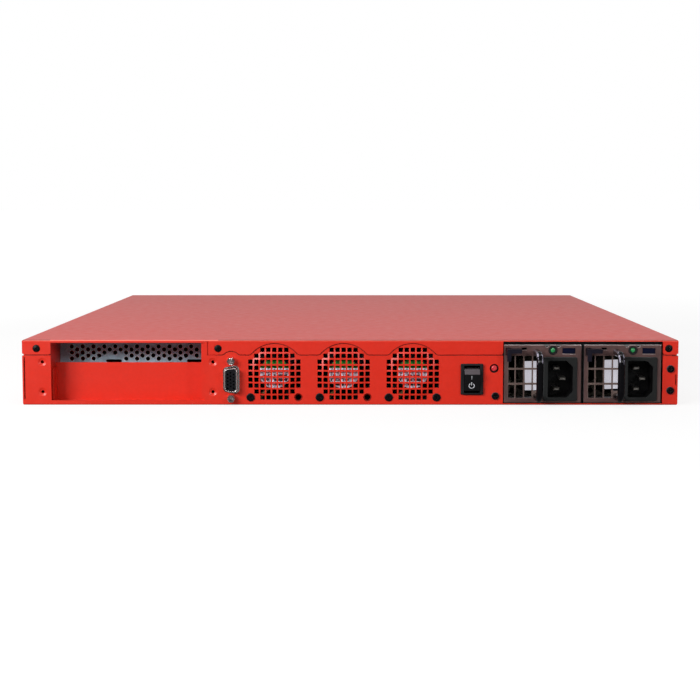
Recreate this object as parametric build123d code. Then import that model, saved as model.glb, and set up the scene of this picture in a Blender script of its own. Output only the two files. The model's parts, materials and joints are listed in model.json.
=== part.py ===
from build123d import *
import os
from math import cos, pi, radians, sin

# Rack-mount firewall appliance, one rack unit high: a folded sheet-steel tray with a screwed top cover, three
# exhaust fans behind pressed grilles in the rear wall, two slide-in supplies, and a network front panel.
#
# Millimetres, +Z up. The origin is the middle of the tray's flat underside. The rear wall faces -Y, the front
# panel +Y. Left and right are as seen from the rear, so +X is to the right of someone facing the rear wall.

# ---------------------------------------------------------------- driving dimensions
WIDTH = 438.0
HEIGHT = 43.6
DEPTH = 508.0
SHEET = 1.0  # tray and cover steel
FIT_GAP = 0.6  # open seam between the cover's edges and the tray
SEAM_Z = 33.2  # where the cover's rear lip and side flanges meet the tray
TOP_FOLD_R = 0.95
BAY_LIP_Z = 41.7  # the cover's short edge over the expansion bay
STEP_LAP = 3.0  # how far the inset upper walls run down behind the outer ones
CORNER_SEAM = 0.75  # open seam at the left rear corner

HALF_W = WIDTH / 2
REAR = -DEPTH / 2
FRONT = DEPTH / 2
FRONT_PLATE = 2.0
TRAY_FRONT = FRONT - FRONT_PLATE
COVER_UNDER = HEIGHT - SHEET
WALL_TOP = COVER_UNDER - 0.2
REAR_STEP = REAR + SHEET  # outer face of the inset upper rear wall
REAR_INSIDE = REAR + 2 * SHEET

# expansion bay at the left of the rear wall
BAY = (-199.9, -97.3)
BAY_SILL_Z = 3.0
BAY_STRIP_X = -95.3  # the folded edge beside the bay shows over the wall's full height
BAY_HEM = 2.1  # the bay's right wall is hemmed, two sheets thick
BAY_PLATE_Y = REAR + 16.0
BAY_PLATE_TOP = 27.0
BAY_FLANGE_TOP = 24.4
VENT_PLATE_Y = REAR + 33.0
BAY_DIMPLE_X = (-205.7, -91.7)
BAY_DIMPLE_Z = (8.8, 28.9)

# exhaust fans
FAN_SIZE = 40.0
FAN_LENGTH = 28.0
FAN_Z = 21.05
FAN_X = (-50.5, -4.3, 41.9)
FAN_HOLE_PITCH = 32.0
FAN_HUB_R = 10.8
GRILLE_PITCH = 4.0
GRILLE_HOLE = 2.95
GRILLE_ROWS = (5, 7, 9, 9, 9, 9, 9, 7, 5)
DISH_R = (13.7, 17.2)  # each grille is pressed outwards: flat inside the first radius, sloping to the second
DISH_RISE = 1.1
INNER_LAYER_R = 18.6  # the inner layer is cut away round each grille
ARC_R = 19.9  # the rear wall rises into the cover's lip around each grille
ARC_BLEND = 3.0

# video connector, standing on end
VGA_X = -79.4
VGA_Z = 17.0
JACK_PITCH = 25.0
VGA_ARC_R = 6.2
VGA_PROUD = 5.6
JACK_SCREW_R = 1.42

# rocker switch
SWITCH_X = 81.4
SWITCH_Z = 17.4
SWITCH_BEZEL = (15.0, 20.8, 2.0)
SWITCH_CAVITY = (10.6, 18.5)
ROCKER_WIDTH = 10.2
ROCKER_PIVOT_Y = REAR + 3.6
ROCKER_TILT = 14.0

# alarm button
ALARM_X = 96.3
ALARM_Z = 24.6
ALARM_HOLE_R = 3.0
ALARM_CAP_R = 2.05

# power supplies
PSU_WIDTH = 51.2
PSU_Z = (1.6, 40.5)
PSU_LENGTH = 190.0
PSU_LEFT = (102.9, 156.2)
PSU_BAY = (102.2, 208.7)
PSU_FACE = REAR - 1.0
PSU_SHEET = 0.8
PSU_FAN_SIZE = 36.8
PSU_FAN_DEPTH = 30.0
PSU_FAN_HUB_R = 12.0
PSU_FAN_X = 23.7  # fan axis from the supply's left side
HANDLE_REACH = 22.0
HANDLE_BAR_R = 2.3
INLET_CAVITY = (16.7, 24.6, 15.5)
INLET_CHAMFER = 4.0
LATCH_PIVOT_Y = REAR + 30.0

# screws
M3_R = 1.45
PAN_HEAD_R = 2.55
FAN_SCREW_R = 2.7

# side mounting holes for rack ears
EAR_HOLE_R = 2.1
EAR_Y = (212.0, 236.0)
EAR_Z = (8.0, 26.0)

# main board
BOARD_Z = 7.0
PCB = 1.6


# ---------------------------------------------------------------- shape helpers
def block(x, y, z):
    """A box between two values on each axis."""
    size = [b - a for a, b in (x, y, z)]
    middle = [(a + b) / 2 for a, b in (x, y, z)]
    return Pos(*middle) * Box(*size)


def rod_y(radius, y, x, z):
    """A cylinder along Y between two values of y."""
    return Pos(x, (y[0] + y[1]) / 2, z) * Rot(90, 0, 0) * Cylinder(radius, y[1] - y[0])


def cone_y(r_start, r_end, y, x, z):
    """A cone along Y with radius r_start at y[0] and r_end at y[1]."""
    return Pos(x, (y[0] + y[1]) / 2, z) * Rot(-90, 0, 0) * Cone(r_start, r_end, y[1] - y[0])


def rod_x(radius, x, y, z):
    """A cylinder along X between two values of x."""
    return Pos((x[0] + x[1]) / 2, y, z) * Rot(0, 90, 0) * Cylinder(radius, x[1] - x[0])


def upright(sketch, y):
    """A sketch in X and Z made into a plate between two values of y."""
    plane = Plane((0, y[1], 0), x_dir=(1, 0, 0), z_dir=(0, -1, 0))
    return extrude(plane * sketch, amount=y[1] - y[0], dir=(0, -1, 0))


def sideways(sketch, x):
    """A sketch in Y and Z made into a plate between two values of x."""
    plane = Plane((x[0], 0, 0), x_dir=(0, 1, 0), z_dir=(1, 0, 0))
    return extrude(plane * sketch, amount=x[1] - x[0], dir=(1, 0, 0))


def rect(x, z):
    """A rectangle between two values on each axis of a sketch."""
    return Pos((x[0] + x[1]) / 2, (z[0] + z[1]) / 2) * Rectangle(x[1] - x[0], z[1] - z[0])


def save(shape, node):
    export_step(shape, f"parts/{node}.step")


# ---------------------------------------------------------------- fasteners
def cross_recess(x, y, z, reach, depth):
    """The crossed slots of a screw head that faces -Y at the given y."""
    across = block((x - reach, x + reach), (y - 0.1, y + depth), (z - 0.3, z + 0.3))
    down = block((x - 0.3, x + 0.3), (y - 0.1, y + depth), (z - reach, z + reach))
    return across + down


def pan_screw(x, y, z, head_r=PAN_HEAD_R, shank_r=M3_R, length=8.0, head_h=1.5):
    """A pan-head screw whose head stands out from a wall at y, facing -Y."""
    head = rod_y(head_r, (y - head_h, y), x, z)
    rim = head.edges().filter_by(GeomType.CIRCLE).sort_by(Axis.Y)[0]
    head = fillet(rim, head_h * 0.55)
    shank = rod_y(shank_r, (y, y + length), x, z)
    return head + shank - cross_recess(x, y - head_h, z, head_r * 0.5, head_h * 0.7)


def sunk_screw(x, y, z, length=7.0):
    """A countersunk screw with a low oval head, facing -Y out of a wall at y."""
    below, rise, head_r = 0.12, 0.4, 2.4
    head = cone_y(head_r, M3_R, (y + below, y + below + 0.85), x, z)
    ball_r = (head_r * head_r + rise * rise) / (2 * rise)
    cap = Pos(x, y + below - rise + ball_r, z) * Sphere(ball_r)
    head += cap & rod_y(head_r, (y + below - 1, y + below), x, z)
    shank = rod_y(M3_R, (y + below + 0.85, y + length), x, z)
    return head + shank - cross_recess(x, y + below - rise, z, 1.2, 0.9)


def sunk_hole(x, y, z, through):
    """The cutter for a countersunk hole in a wall whose outer face is at y."""
    return cone_y(2.75, 1.55, (y, y + SHEET), x, z) + rod_y(1.6, (y, y + through), x, z)


def side_screw(side, y, z):
    """A countersunk screw in the cover's side flange; side is -1 for the left and +1 for the right."""
    return Pos(side * HALF_W, y, z) * Rot(0, 0, 90 * side) * sunk_screw(0, 0, 0, 6.0)


# ---------------------------------------------------------------- rear wall and cover outlines
def wall_outline(grow):
    """The rear wall's outer layer: a band up to the seam, rising round each grille and one jack screw."""
    top = SEAM_Z + grow
    region = rect((-HALF_W, HALF_W), (0, top))
    for x in FAN_X:
        region += Pos(x, FAN_Z) * Circle(ARC_R + grow)
    region += Pos(VGA_X, VGA_Z + JACK_PITCH / 2) * Circle(VGA_ARC_R + grow)
    inner_corners = [v for v in region.vertices() if abs(v.Y - top) < 0.01 and abs(v.X) < HALF_W - 1]
    return fillet(inner_corners, ARC_BLEND - grow)


def grille_holes(x_middle):
    """Square holes on a grid, in a disc shape."""
    holes = []
    for row, count in enumerate(GRILLE_ROWS):
        z = FAN_Z + (len(GRILLE_ROWS) // 2 - row) * GRILLE_PITCH
        for column in range(count):
            x = x_middle + (column - count // 2) * GRILLE_PITCH
            holes.append(Pos(x, z) * Rectangle(GRILLE_HOLE, GRILLE_HOLE))
    return holes


LIP_SCREWS = ((-209.4, 37.8), (-88.1, 37.8), (212.7, 37.9))
WALL_SCREWS = ((97.1, 6.1), (213.9, 24.3), (213.9, 9.8))
COVER_SCREW_Y = (-190.0, 0.0, 190.0)
COVER_SCREW_Z = 38.0
FAN_SCREW_Z = FAN_Z - FAN_HOLE_PITCH / 2
NOTCH_Z = (33.0, 34.4)
NOTCH_DEEP = 0.8


def fan_hole_xs():
    return [x + side * FAN_HOLE_PITCH / 2 for x in FAN_X for side in (-1, 1)]


def d_shape(long_side, across, corner):
    """A D-shaped outline standing on end, its long side towards +X."""
    lean = across * 0.176
    half = long_side / 2
    outline = Polygon(
        (across / 2, half),
        (-across / 2, half - lean),
        (-across / 2, lean - half),
        (across / 2, -half),
        align=None,
    )
    return fillet(outline.vertices(), corner)


# ---------------------------------------------------------------- tray and cover
def corner_notches():
    """The small reliefs where the cover's flange, its lip and the tray's corner meet."""
    left = block((-HALF_W - 1, -HALF_W + NOTCH_DEEP), (REAR - 1, REAR + 5), NOTCH_Z)
    right = block((HALF_W - NOTCH_DEEP, HALF_W + 1), (REAR - 1, REAR + 5), NOTCH_Z)
    slot = block((HALF_W - 4.2, HALF_W), (REAR - 1, REAR + 0.8), (32.7, 33.8))
    return [left, right, slot]


def side_vents():
    """Slots near the front of each side wall, where the cooling air comes in."""
    slots = []
    for row in range(2):
        for column in range(12):
            y = 60.0 + column * 9.0
            z = 10.0 + row * 13.5
            slots.append(Pos(y, z) * SlotOverall(10.0, 3.0, rotation=90))
    return slots


def tray():
    """Floor and side walls, folded from one sheet. Each side wall steps in where the cover overlaps it."""
    body = block((-HALF_W, HALF_W), (REAR_STEP, TRAY_FRONT), (0, SHEET))
    lower_side = rect((REAR, TRAY_FRONT), (0, SEAM_Z)) - side_vents()
    lower_side -= [Pos(y, z) * Circle(EAR_HOLE_R) for y in EAR_Y for z in EAR_Z]
    upper_side = rect((REAR_INSIDE, TRAY_FRONT), (SEAM_Z - STEP_LAP, WALL_TOP))
    upper_side -= [Pos(y, COVER_SCREW_Z) * Circle(1.6) for y in COVER_SCREW_Y]
    for side in (-1, 1):
        outer_x = sorted((side * HALF_W, side * (HALF_W - SHEET)))
        inner_x = sorted((side * (HALF_W - SHEET), side * (HALF_W - 2 * SHEET)))
        body += sideways(lower_side, outer_x)
        body += sideways(upper_side, inner_x)
    body -= corner_notches()
    folds = [
        e
        for e in body.edges().filter_by(Axis.Y)
        if abs(e.center().Z) < 0.01 and abs(e.center().X) > HALF_W - 0.1
    ]
    return fillet(folds, 1.2)


def wall_holes():
    """Every round, tapered and shaped hole in the rear wall apart from the grilles."""
    through = (REAR - 1, REAR_INSIDE + 1)
    holes = [rod_y(1.6, through, x, z) for x, z in LIP_SCREWS + WALL_SCREWS]
    holes += [cone_y(2.9, 1.95, (REAR, REAR_STEP), x, FAN_SCREW_Z) for x in fan_hole_xs()]
    for x in BAY_DIMPLE_X:
        for z in BAY_DIMPLE_Z:
            holes.append(cone_y(2.8, 1.4, (REAR, REAR + 0.6), x, z) + rod_y(1.05, through, x, z))
    holes.append(upright(Pos(VGA_X, VGA_Z) * d_shape(20.0, 10.9, 3.0), through))
    holes += [rod_y(1.6, through, VGA_X, VGA_Z + side * JACK_PITCH / 2) for side in (-1, 1)]
    holes.append(block((SWITCH_X - 6.6, SWITCH_X + 6.6), through, (SWITCH_Z - 9.8, SWITCH_Z + 9.8)))
    holes.append(rod_y(ALARM_HOLE_R, through, ALARM_X, ALARM_Z))
    return holes


def rear_wall():
    """The rear wall: an outer layer up to the seam and one a sheet further in behind the lip."""
    edge = HALF_W - SHEET
    outer = wall_outline(0) & rect((-edge, edge), (0, HEIGHT))
    outer += rect((BAY[1], BAY_STRIP_X), (BAY_SILL_Z, WALL_TOP))
    outer -= rect(BAY, (BAY_SILL_Z, HEIGHT))
    outer -= rect(PSU_BAY, (SHEET, HEIGHT))
    outer -= rect((-edge, CORNER_SEAM - edge), (3.6, SEAM_Z - 1.2))
    outer -= rect((edge - 0.7, edge), (13.6, 20.4))
    upper = rect((1 - edge, edge - 1), (SEAM_Z - STEP_LAP, WALL_TOP))
    upper -= rect(BAY, (BAY_SILL_Z, HEIGHT))
    upper -= rect(PSU_BAY, (SHEET, HEIGHT))
    upper -= [Pos(x, FAN_Z) * Circle(INNER_LAYER_R) for x in FAN_X]
    body = upright(outer, (REAR, REAR_STEP)) + upright(upper, (REAR_STEP, REAR_INSIDE))
    for x in FAN_X:
        body += cone_y(*DISH_R, (REAR - DISH_RISE, REAR), x, FAN_Z)
        body -= cone_y(*DISH_R, (REAR_STEP - DISH_RISE, REAR_STEP), x, FAN_Z)
        body -= upright(Sketch() + grille_holes(x), (REAR - 2, REAR_INSIDE))

    # the walls of the expansion bay, folded inwards
    bay_depth = (REAR_STEP, VENT_PLATE_Y + SHEET)
    body += block((BAY[0] - SHEET, BAY[0]), bay_depth, (BAY_SILL_Z, WALL_TOP))
    body += block((BAY[1] - BAY_HEM, BAY[1] + SHEET), bay_depth, (BAY_SILL_Z - SHEET, WALL_TOP))
    body -= wall_holes() + corner_notches()
    bottom = [
        e
        for e in body.edges().filter_by(Axis.X)
        if abs(e.center().Z) < 0.01 and abs(e.center().Y - REAR) < 0.01
    ]
    return fillet(bottom, 0.8)


def top_cover():
    """Top sheet with side flanges and a rear lip that drops over the tray."""
    lip = rect((-HALF_W, HALF_W), (SEAM_Z + FIT_GAP, HEIGHT - 0.5)) - wall_outline(FIT_GAP)
    bay_gap = (BAY[0], BAY_STRIP_X + FIT_GAP)
    lip -= rect(bay_gap, (0, HEIGHT))
    lip -= rect(PSU_BAY, (0, HEIGHT))
    ends = bay_gap + PSU_BAY
    low = [
        v
        for v in lip.vertices()
        if abs(v.Y - SEAM_Z - FIT_GAP) < 0.01 and any(abs(v.X - x) < 0.01 for x in ends)
    ]
    lip = fillet(low, 1.5)
    lip += rect((BAY[0], BAY[1] - 0.3), (BAY_LIP_Z, HEIGHT - 0.5))
    body = upright(lip, (REAR, REAR_STEP))
    body += block((-HALF_W, HALF_W), (REAR, TRAY_FRONT), (COVER_UNDER, HEIGHT))
    for side in (-1, 1):
        flange_x = sorted((side * HALF_W, side * (HALF_W - SHEET)))
        body += block(flange_x, (REAR, TRAY_FRONT), (SEAM_Z + FIT_GAP, HEIGHT - 0.5))
    body -= corner_notches()
    body -= [sunk_hole(x, REAR, z, 3) for x, z in LIP_SCREWS]
    for side in (-1, 1):
        for y in COVER_SCREW_Y:
            body -= Pos(side * HALF_W, y, COVER_SCREW_Z) * Rot(0, 0, 90 * side) * sunk_hole(0, 0, 0, 3)
    rim = [e for e in body.edges() if abs(e.center().Z - HEIGHT) < 0.01 and e.center().Y < TRAY_FRONT - 1]
    return fillet([e for e in rim if e.geom_type == GeomType.LINE], TOP_FOLD_R)


def bay_bracket():
    """The recessed plate in the expansion bay: left flange folded outwards, right one inwards."""
    x = (BAY[0] + 0.2, BAY[1] - BAY_HEM - 0.2)
    z = (SHEET + 0.1, BAY_PLATE_TOP)
    flange_z = (z[0], BAY_FLANGE_TOP)
    body = block(x, (BAY_PLATE_Y, BAY_PLATE_Y + SHEET), z)
    body += block((x[0], x[0] + SHEET), (REAR + 4.0, BAY_PLATE_Y + SHEET), flange_z)
    body += block((x[1] - SHEET, x[1]), (BAY_PLATE_Y, BAY_PLATE_Y + 12), flange_z)
    body += block(x, (BAY_PLATE_Y, BAY_PLATE_Y + 12), (z[0], z[0] + SHEET))
    upper_edge = body.edges().filter_by(Axis.X).sort_by(Axis.Z)[-1]
    return fillet(upper_edge, 0.3)


def vent_plate():
    """A galvanised vent plate with staggered round holes above two long slots."""
    pitch_x, pitch_z, hole_r = 3.74, 4.2, 1.5
    first_x, top_z = BAY[0] + 8.1, 36.2
    slots = ((-162.8, 10.8, 30.5), (-105.6, 14.0, 28.5))  # middle, length, and how low the holes go beside it
    slot_z, slot_h = 26.2, 2.2
    plate = rect((BAY[0] + 0.1, BAY[1] - BAY_HEM - 0.1), (SHEET + 0.1, WALL_TOP))
    holes = []
    for column in range(24):
        x = first_x + column * pitch_x
        offset = pitch_z / 2 if column % 2 else 0
        for row in range(3 - column % 2):
            z = top_z - offset - row * pitch_z
            near_slot = [abs(x - middle) < length / 2 + 1.4 and z < low for middle, length, low in slots]
            if not any(near_slot):
                holes.append(Pos(x, z) * Circle(hole_r))
    for middle, length, _ in slots:
        holes.append(Pos(middle, slot_z) * SlotOverall(length, slot_h) & rect((BAY[0], -101.5), (0, HEIGHT)))
    return upright(plate - holes, (VENT_PLATE_Y, VENT_PLATE_Y + SHEET))


# ---------------------------------------------------------------- fans
def fan_frame(size, length, hole_pitch, hub_r):
    """A square fan housing along +Y from y = 0, with the motor's hub and four struts at the y = 0 end."""
    bore_r = size / 2 - 1.0
    outline = fillet(Rectangle(size, size).vertices(), 3.0)
    ring = outline - Circle(bore_r)
    half = hole_pitch / 2
    ring -= [Pos(x, z) * Circle(1.95) for x in (-half, half) for z in (-half, half)]
    body = upright(ring, (0, length))
    strut = Pos(bore_r / 2 + 2, 0) * Rectangle(bore_r, 1.6)
    struts = Sketch() + [Rot(0, 0, 35 + quarter * 90) * strut for quarter in range(4)]
    struts &= Circle(bore_r + 0.4)
    body += upright(struts, (1.0, 3.2))
    body += upright(Circle(hub_r), (0.4, 3.4))
    return body - rod_y(1.55, (0.9, 4), 0, 0)


def fan_rotor(size, length, hub_r):
    """The turning part of a fan: shaft, hub cup and seven swept blades, clear of the housing."""
    tip_r = size / 2 - 1.6
    body = rod_y(hub_r, (3.9, length - 2.0), 0, 0)
    rim = body.edges().filter_by(GeomType.CIRCLE).sort_by(Axis.Y)[-1]
    body = fillet(rim, 1.2)
    reach = tip_r - hub_r
    middle_y = (3.9 + length - 2.0) / 2
    blade = Pos(hub_r + reach / 2 - 0.2, middle_y, 0) * Rot(38, 0, 0) * Box(reach + 2.4, length * 0.68, 1.0)
    blades = Part() + [Rot(0, 360 / 7 * i, 0) * blade for i in range(7)]
    blades &= rod_y(tip_r, (4.2, length - 2.6), 0, 0)
    return body + blades + rod_y(1.5, (1.2, 4.0), 0, 0)


# ---------------------------------------------------------------- rear connectors and controls
def vga_shell():
    """The connector's plated shell: a D-shaped tube that stands out of the wall, and its flange inside."""
    place = Pos(VGA_X, VGA_Z)
    outside = place * d_shape(17.6, 8.8, 2.4)
    inside = place * d_shape(15.7, 6.9, 1.7)
    tube = upright(outside - inside, (REAR - VGA_PROUD, REAR_INSIDE + 0.8))
    rim = [e for e in tube.edges() if abs(e.center().Y - (REAR - VGA_PROUD)) < 0.01]
    tube = fillet(rim, 0.3)
    flange = fillet((place * Rectangle(12.4, 30.8)).vertices(), 1.0) - inside
    flange -= [Pos(VGA_X, VGA_Z + side * JACK_PITCH / 2) * Circle(1.6) for side in (-1, 1)]
    return tube + upright(flange, (REAR_INSIDE, REAR_INSIDE + 0.8))


def vga_insulator():
    """The moulded face with fifteen contact holes in three staggered columns, and the body behind it."""
    face = Pos(VGA_X, VGA_Z) * d_shape(15.5, 6.7, 1.6)
    holes = []
    for column in range(3):
        for row in range(5):
            stagger = 0.57 if column == 1 else -0.57
            z = VGA_Z + (row - 2) * 2.29 + stagger
            holes.append(Pos(VGA_X + (column - 1) * 1.98, z) * Circle(0.62))
    front = upright(face - holes, (REAR - VGA_PROUD + 0.5, REAR - VGA_PROUD + 3.5))
    back = upright(face, (REAR - VGA_PROUD + 3.5, REAR_INSIDE + 0.8))
    housing = Pos(VGA_X, VGA_Z) * Rectangle(12.0, 19.2)
    return front + back + upright(housing, (REAR_INSIDE + 0.8, REAR_INSIDE + 9))


def vga_jackscrew(z):
    """A hexagonal jack screw with a threaded socket in its face."""
    head = upright(Pos(VGA_X, z) * RegularPolygon(2.75, 6), (REAR - 4.9, REAR))
    head &= cone_y(1.9, 6.8, (REAR - 4.9, REAR), VGA_X, z)
    shank = rod_y(1.4, (REAR, REAR_INSIDE + 5), VGA_X, z)
    mouth = cone_y(1.8, JACK_SCREW_R, (REAR - 4.9, REAR - 4.5), VGA_X, z)
    return head + shank - mouth - rod_y(JACK_SCREW_R, (REAR - 6, REAR - 1.0), VGA_X, z)


def switch_housing():
    """Bezel and snap-in body of the power switch, open at the front for the rocker."""
    wide, high, proud = SWITCH_BEZEL
    bezel_outline = fillet((Pos(SWITCH_X, SWITCH_Z) * Rectangle(wide, high)).vertices(), 0.9)
    bezel = upright(bezel_outline, (REAR - proud, REAR))
    bezel = fillet([e for e in bezel.edges() if abs(e.center().Y - (REAR - proud)) < 0.01], 0.7)
    body = block((SWITCH_X - 6.4, SWITCH_X + 6.4), (REAR, REAR + 16), (SWITCH_Z - 9.7, SWITCH_Z + 9.7))
    cavity = Pos(SWITCH_X, SWITCH_Z) * Rectangle(*SWITCH_CAVITY)
    socket = upright(cavity, (REAR - proud - 1, REAR + 11))
    blades = [Pos(SWITCH_X, SWITCH_Z + z) * Rectangle(4.8, 0.8) for z in (-6.0, 0.0, 6.0)]
    terminals = upright(Sketch() + blades, (REAR + 16, REAR + 24))
    pivot = rod_x(1.0, (SWITCH_X - 5.9, SWITCH_X + 5.9), ROCKER_PIVOT_Y, SWITCH_Z)
    return bezel + body - socket + terminals + pivot


def power_rocker():
    """The rocker at rest, with its lower end pressed in. Its face is flat and both ends slope back."""
    face, shoulder, back = 8.0, 4.4, -4.0
    outline = Polygon(
        (-face, 5.75),
        (-shoulder, 8.2),
        (0, 7.6),
        (-back, 3.0),
        (-back, -3.0),
        (0, -7.6),
        (-shoulder, -8.2),
        (-face, -5.75),
        align=None,
    )
    rocker = sideways(outline, (-ROCKER_WIDTH / 2, ROCKER_WIDTH / 2))
    ridges = [e for e in rocker.edges().filter_by(Axis.X) if e.center().Y < -shoulder + 0.1]
    rocker = fillet(ridges, 0.5)
    rocker -= rod_x(1.05, (-10, 10), 0, 0)
    return Pos(SWITCH_X, ROCKER_PIVOT_Y, SWITCH_Z) * Rot(ROCKER_TILT, 0, 0) * rocker


def alarm_button():
    """The domed cap of the alarm-silence button with its stem."""
    cap = rod_y(ALARM_CAP_R, (REAR + 0.1, REAR + 6), ALARM_X, ALARM_Z)
    rim = cap.edges().filter_by(GeomType.CIRCLE).sort_by(Axis.Y)[0]
    cap = fillet(rim, 1.2)
    return cap + rod_y(2.7, (REAR + 3.2, REAR + 4.0), ALARM_X, ALARM_Z)


def alarm_switch_body():
    """The small push switch that holds the cap, behind the rear wall."""
    body = block((ALARM_X - 4, ALARM_X + 4), (REAR_INSIDE + 0.1, REAR + 12), (ALARM_Z - 4, ALARM_Z + 4))
    body -= rod_y(2.15, (REAR, REAR + 7.4), ALARM_X, ALARM_Z)
    return body - rod_y(2.85, (REAR + 3.0, REAR + 5.4), ALARM_X, ALARM_Z)


# ---------------------------------------------------------------- power supply
def psu_case(left):
    """The supply's steel case, open behind the faceplate, with a slot for the board's edge at the far end."""
    x = (left, left + PSU_WIDTH)
    y = (PSU_FACE + SHEET, PSU_FACE + PSU_LENGTH)
    skin = PSU_SHEET
    body = block(x, y, PSU_Z)
    body -= block((x[0] + skin, x[1] - skin), (y[0] - 1, y[1] - skin), (PSU_Z[0] + skin, PSU_Z[1] - skin))
    body -= block((x[0] + 4, x[1] - 4), (y[1] - 2, y[1] + 1), (PSU_Z[0] + 2.0, PSU_Z[0] + 5.6))
    vents = [
        Pos(left + 8.6 + 4.25 * i, 14.0 + 6.0 * j) * Circle(1.5) for i in range(9) for j in range(4)
    ]
    body -= upright(Sketch() + vents, (y[1] - 2, y[1] + 1))
    body -= block((left - 1, left + 1), (REAR + 5.0, REAR + 20.0), (29.5, 39.0))
    return body + psu_latch_pin(left)


def psu_guard_cells(left):
    """The openings of the finger guard, beside the inlet and clear of the handle's feet."""
    bars = (2.25, 7.3, 13.05, 18.8, 24.1)
    rows = ((4.9, 13.7), (15.0, 23.8), (25.0, 33.2))
    cells = []
    for before, after in zip(bars, bars[1:]):
        for low, high in rows:
            under_handle = after == bars[-1] and low == rows[0][0]
            low_edge = 9.6 if under_handle else low
            cells.append(rect((left + before + 0.45, left + after - 0.45), (low_edge, high)))
    return cells


def psu_faceplate(left):
    """Front sheet of the supply: guard, inlet cut-out, indicator, ejector window and two notches on top."""
    plate = rect((left, left + PSU_WIDTH), PSU_Z)
    plate -= psu_guard_cells(left)
    plate -= rect((left + 27.3, left + 47.3), (4.0, 31.2))
    plate -= Pos(left + 32.3, 36.9) * Circle(1.7)
    plate -= rect((left + 38.6, left + 47.3), (34.5, 38.4))
    plate -= [Pos(left + x, PSU_Z[1]) * Circle(1.5) for x in (28.4, 36.1)]
    plate -= rect((left + 0.8, left + 4.5), (33.4, 38.6))
    plate -= rect((left + 11.3, left + 14.9), (37.2, 38.7))
    body = upright(plate, (PSU_FACE, PSU_FACE + SHEET))
    outer = [e for e in body.edges() if abs(e.center().Y - PSU_FACE) < 0.01]
    body = fillet([e for e in outer if abs(e.center().Z - PSU_Z[0]) < 0.01], 0.4)
    outer = [e for e in body.edges() if abs(e.center().Y - PSU_FACE) < 0.01]
    top = [e for e in outer if e.center().Z > PSU_Z[1] - 1.6]
    sills = [e for e in outer if min(abs(e.center().Z - z) for z in (34.5, 37.2)) < 0.01]
    return chamfer(top + sills, 0.4)


def psu_inlet(left):
    """Mains inlet: a moulded flange over the cut-out and a deep socket with two chamfered corners."""
    x, z = left + 37.3, 17.6
    wide, high, deep = INLET_CAVITY
    socket = Polygon(
        (-wide / 2, high / 2),
        (-wide / 2, -high / 2),
        (wide / 2 - INLET_CHAMFER, -high / 2),
        (wide / 2, INLET_CHAMFER - high / 2),
        (wide / 2, high / 2 - INLET_CHAMFER),
        (wide / 2 - INLET_CHAMFER, high / 2),
        align=None,
    )
    socket = fillet(socket.vertices(), 1.2)
    flange_outline = fillet((Pos(x, z) * Rectangle(22.6, 29.6)).vertices(), 1.2)
    flange = upright(flange_outline, (PSU_FACE - 1.4, PSU_FACE))
    flange = fillet([e for e in flange.edges() if abs(e.center().Y - (PSU_FACE - 1.4)) < 0.01], 0.6)
    body = block((x - 9.6, x + 9.6), (PSU_FACE, PSU_FACE + 19), (z - 13.3, z + 13.3))
    cavity = upright(Pos(x, z) * socket, (PSU_FACE - 3, PSU_FACE - 1.4 + deep))
    body = flange + body - cavity
    for pin_x, pin_z in inlet_pin_places(x, z):
        body -= block((pin_x - 2, pin_x + 2), (PSU_FACE, PSU_FACE + 20), (pin_z - 1, pin_z + 1))
    return body


def inlet_pin_places(x, z):
    """Line, neutral and earth: 14 mm between the outer two, the earth pin 4 mm towards the chamfered side."""
    return ((x - 2, z + 7), (x - 2, z - 7), (x + 2, z))


def psu_inlet_pins(left):
    """Three flat pins with rounded tips, reaching back to their solder tails."""
    x, z = left + 37.3, 17.6
    pins = []
    for pin_x, pin_z in inlet_pin_places(x, z):
        tip = PSU_FACE + (1.0 if pin_z == z else 2.0)
        pin = block((pin_x - 2, pin_x + 2), (tip, PSU_FACE + 24), (pin_z - 1, pin_z + 1))
        pins.append(chamfer(pin.faces().sort_by(Axis.Y)[0].edges(), 0.5))
    return Part() + pins


def psu_handle(left):
    """A round bar bent into a grip, standing on the faceplate."""
    x = left + 21.4
    low, high = 3.6 + HANDLE_BAR_R, 37.8 - HANDLE_BAR_R
    out_y = PSU_FACE - HANDLE_REACH + HANDLE_BAR_R
    path = FilletPolyline(
        (x, PSU_FACE, low),
        (x, out_y, low),
        (x, out_y, high),
        (x, PSU_FACE, high),
        radius=6.0,
    )
    start = Plane((x, PSU_FACE, low), x_dir=(1, 0, 0), z_dir=(0, -1, 0))
    return sweep(start * Circle(HANDLE_BAR_R), path=path)


def psu_latch(left):
    """Squeeze lever: a folded thumb tab outside the faceplate, an arm inside the case, and a pivot boss."""
    x0, x1 = left + 1.1, left + 2.1
    tab_y = (PSU_FACE - 7.5, PSU_FACE - 1.0)
    tab = block((x0, left + 3.9), (tab_y[0], tab_y[0] + 1), (30.0, 38.2))
    tab += block((x0, left + 11.0), (tab_y[0], tab_y[0] + 1), (35.4, 38.2))
    tab += block((x0, left + 11.0), tab_y, (37.2, 38.2))
    arm = block((x0, x1), (tab_y[0], LATCH_PIVOT_Y), (33.8, 38.2))
    boss = Pos(left + 2.3, LATCH_PIVOT_Y, 36.0) * Cylinder(1.3, 4.4)
    hook = block((left + 0.1, x1), (REAR + 8, REAR + 13), (34.4, 37.6))
    return tab + arm + boss + hook - Pos(left + 2.3, LATCH_PIVOT_Y, 36.0) * Cylinder(0.55, 10)


def psu_latch_pin(left):
    """The lever's pivot pin, from a foot on the case's side up to the case's top."""
    low = 32.4
    length = PSU_Z[1] - PSU_SHEET - low
    pin = Pos(left + 2.3, LATCH_PIVOT_Y, low + length / 2) * Cylinder(0.5, length)
    foot_y = (LATCH_PIVOT_Y - 1.5, LATCH_PIVOT_Y + 1.5)
    return pin + block((left + PSU_SHEET, left + 3.4), foot_y, (low - 1, low))


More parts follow.
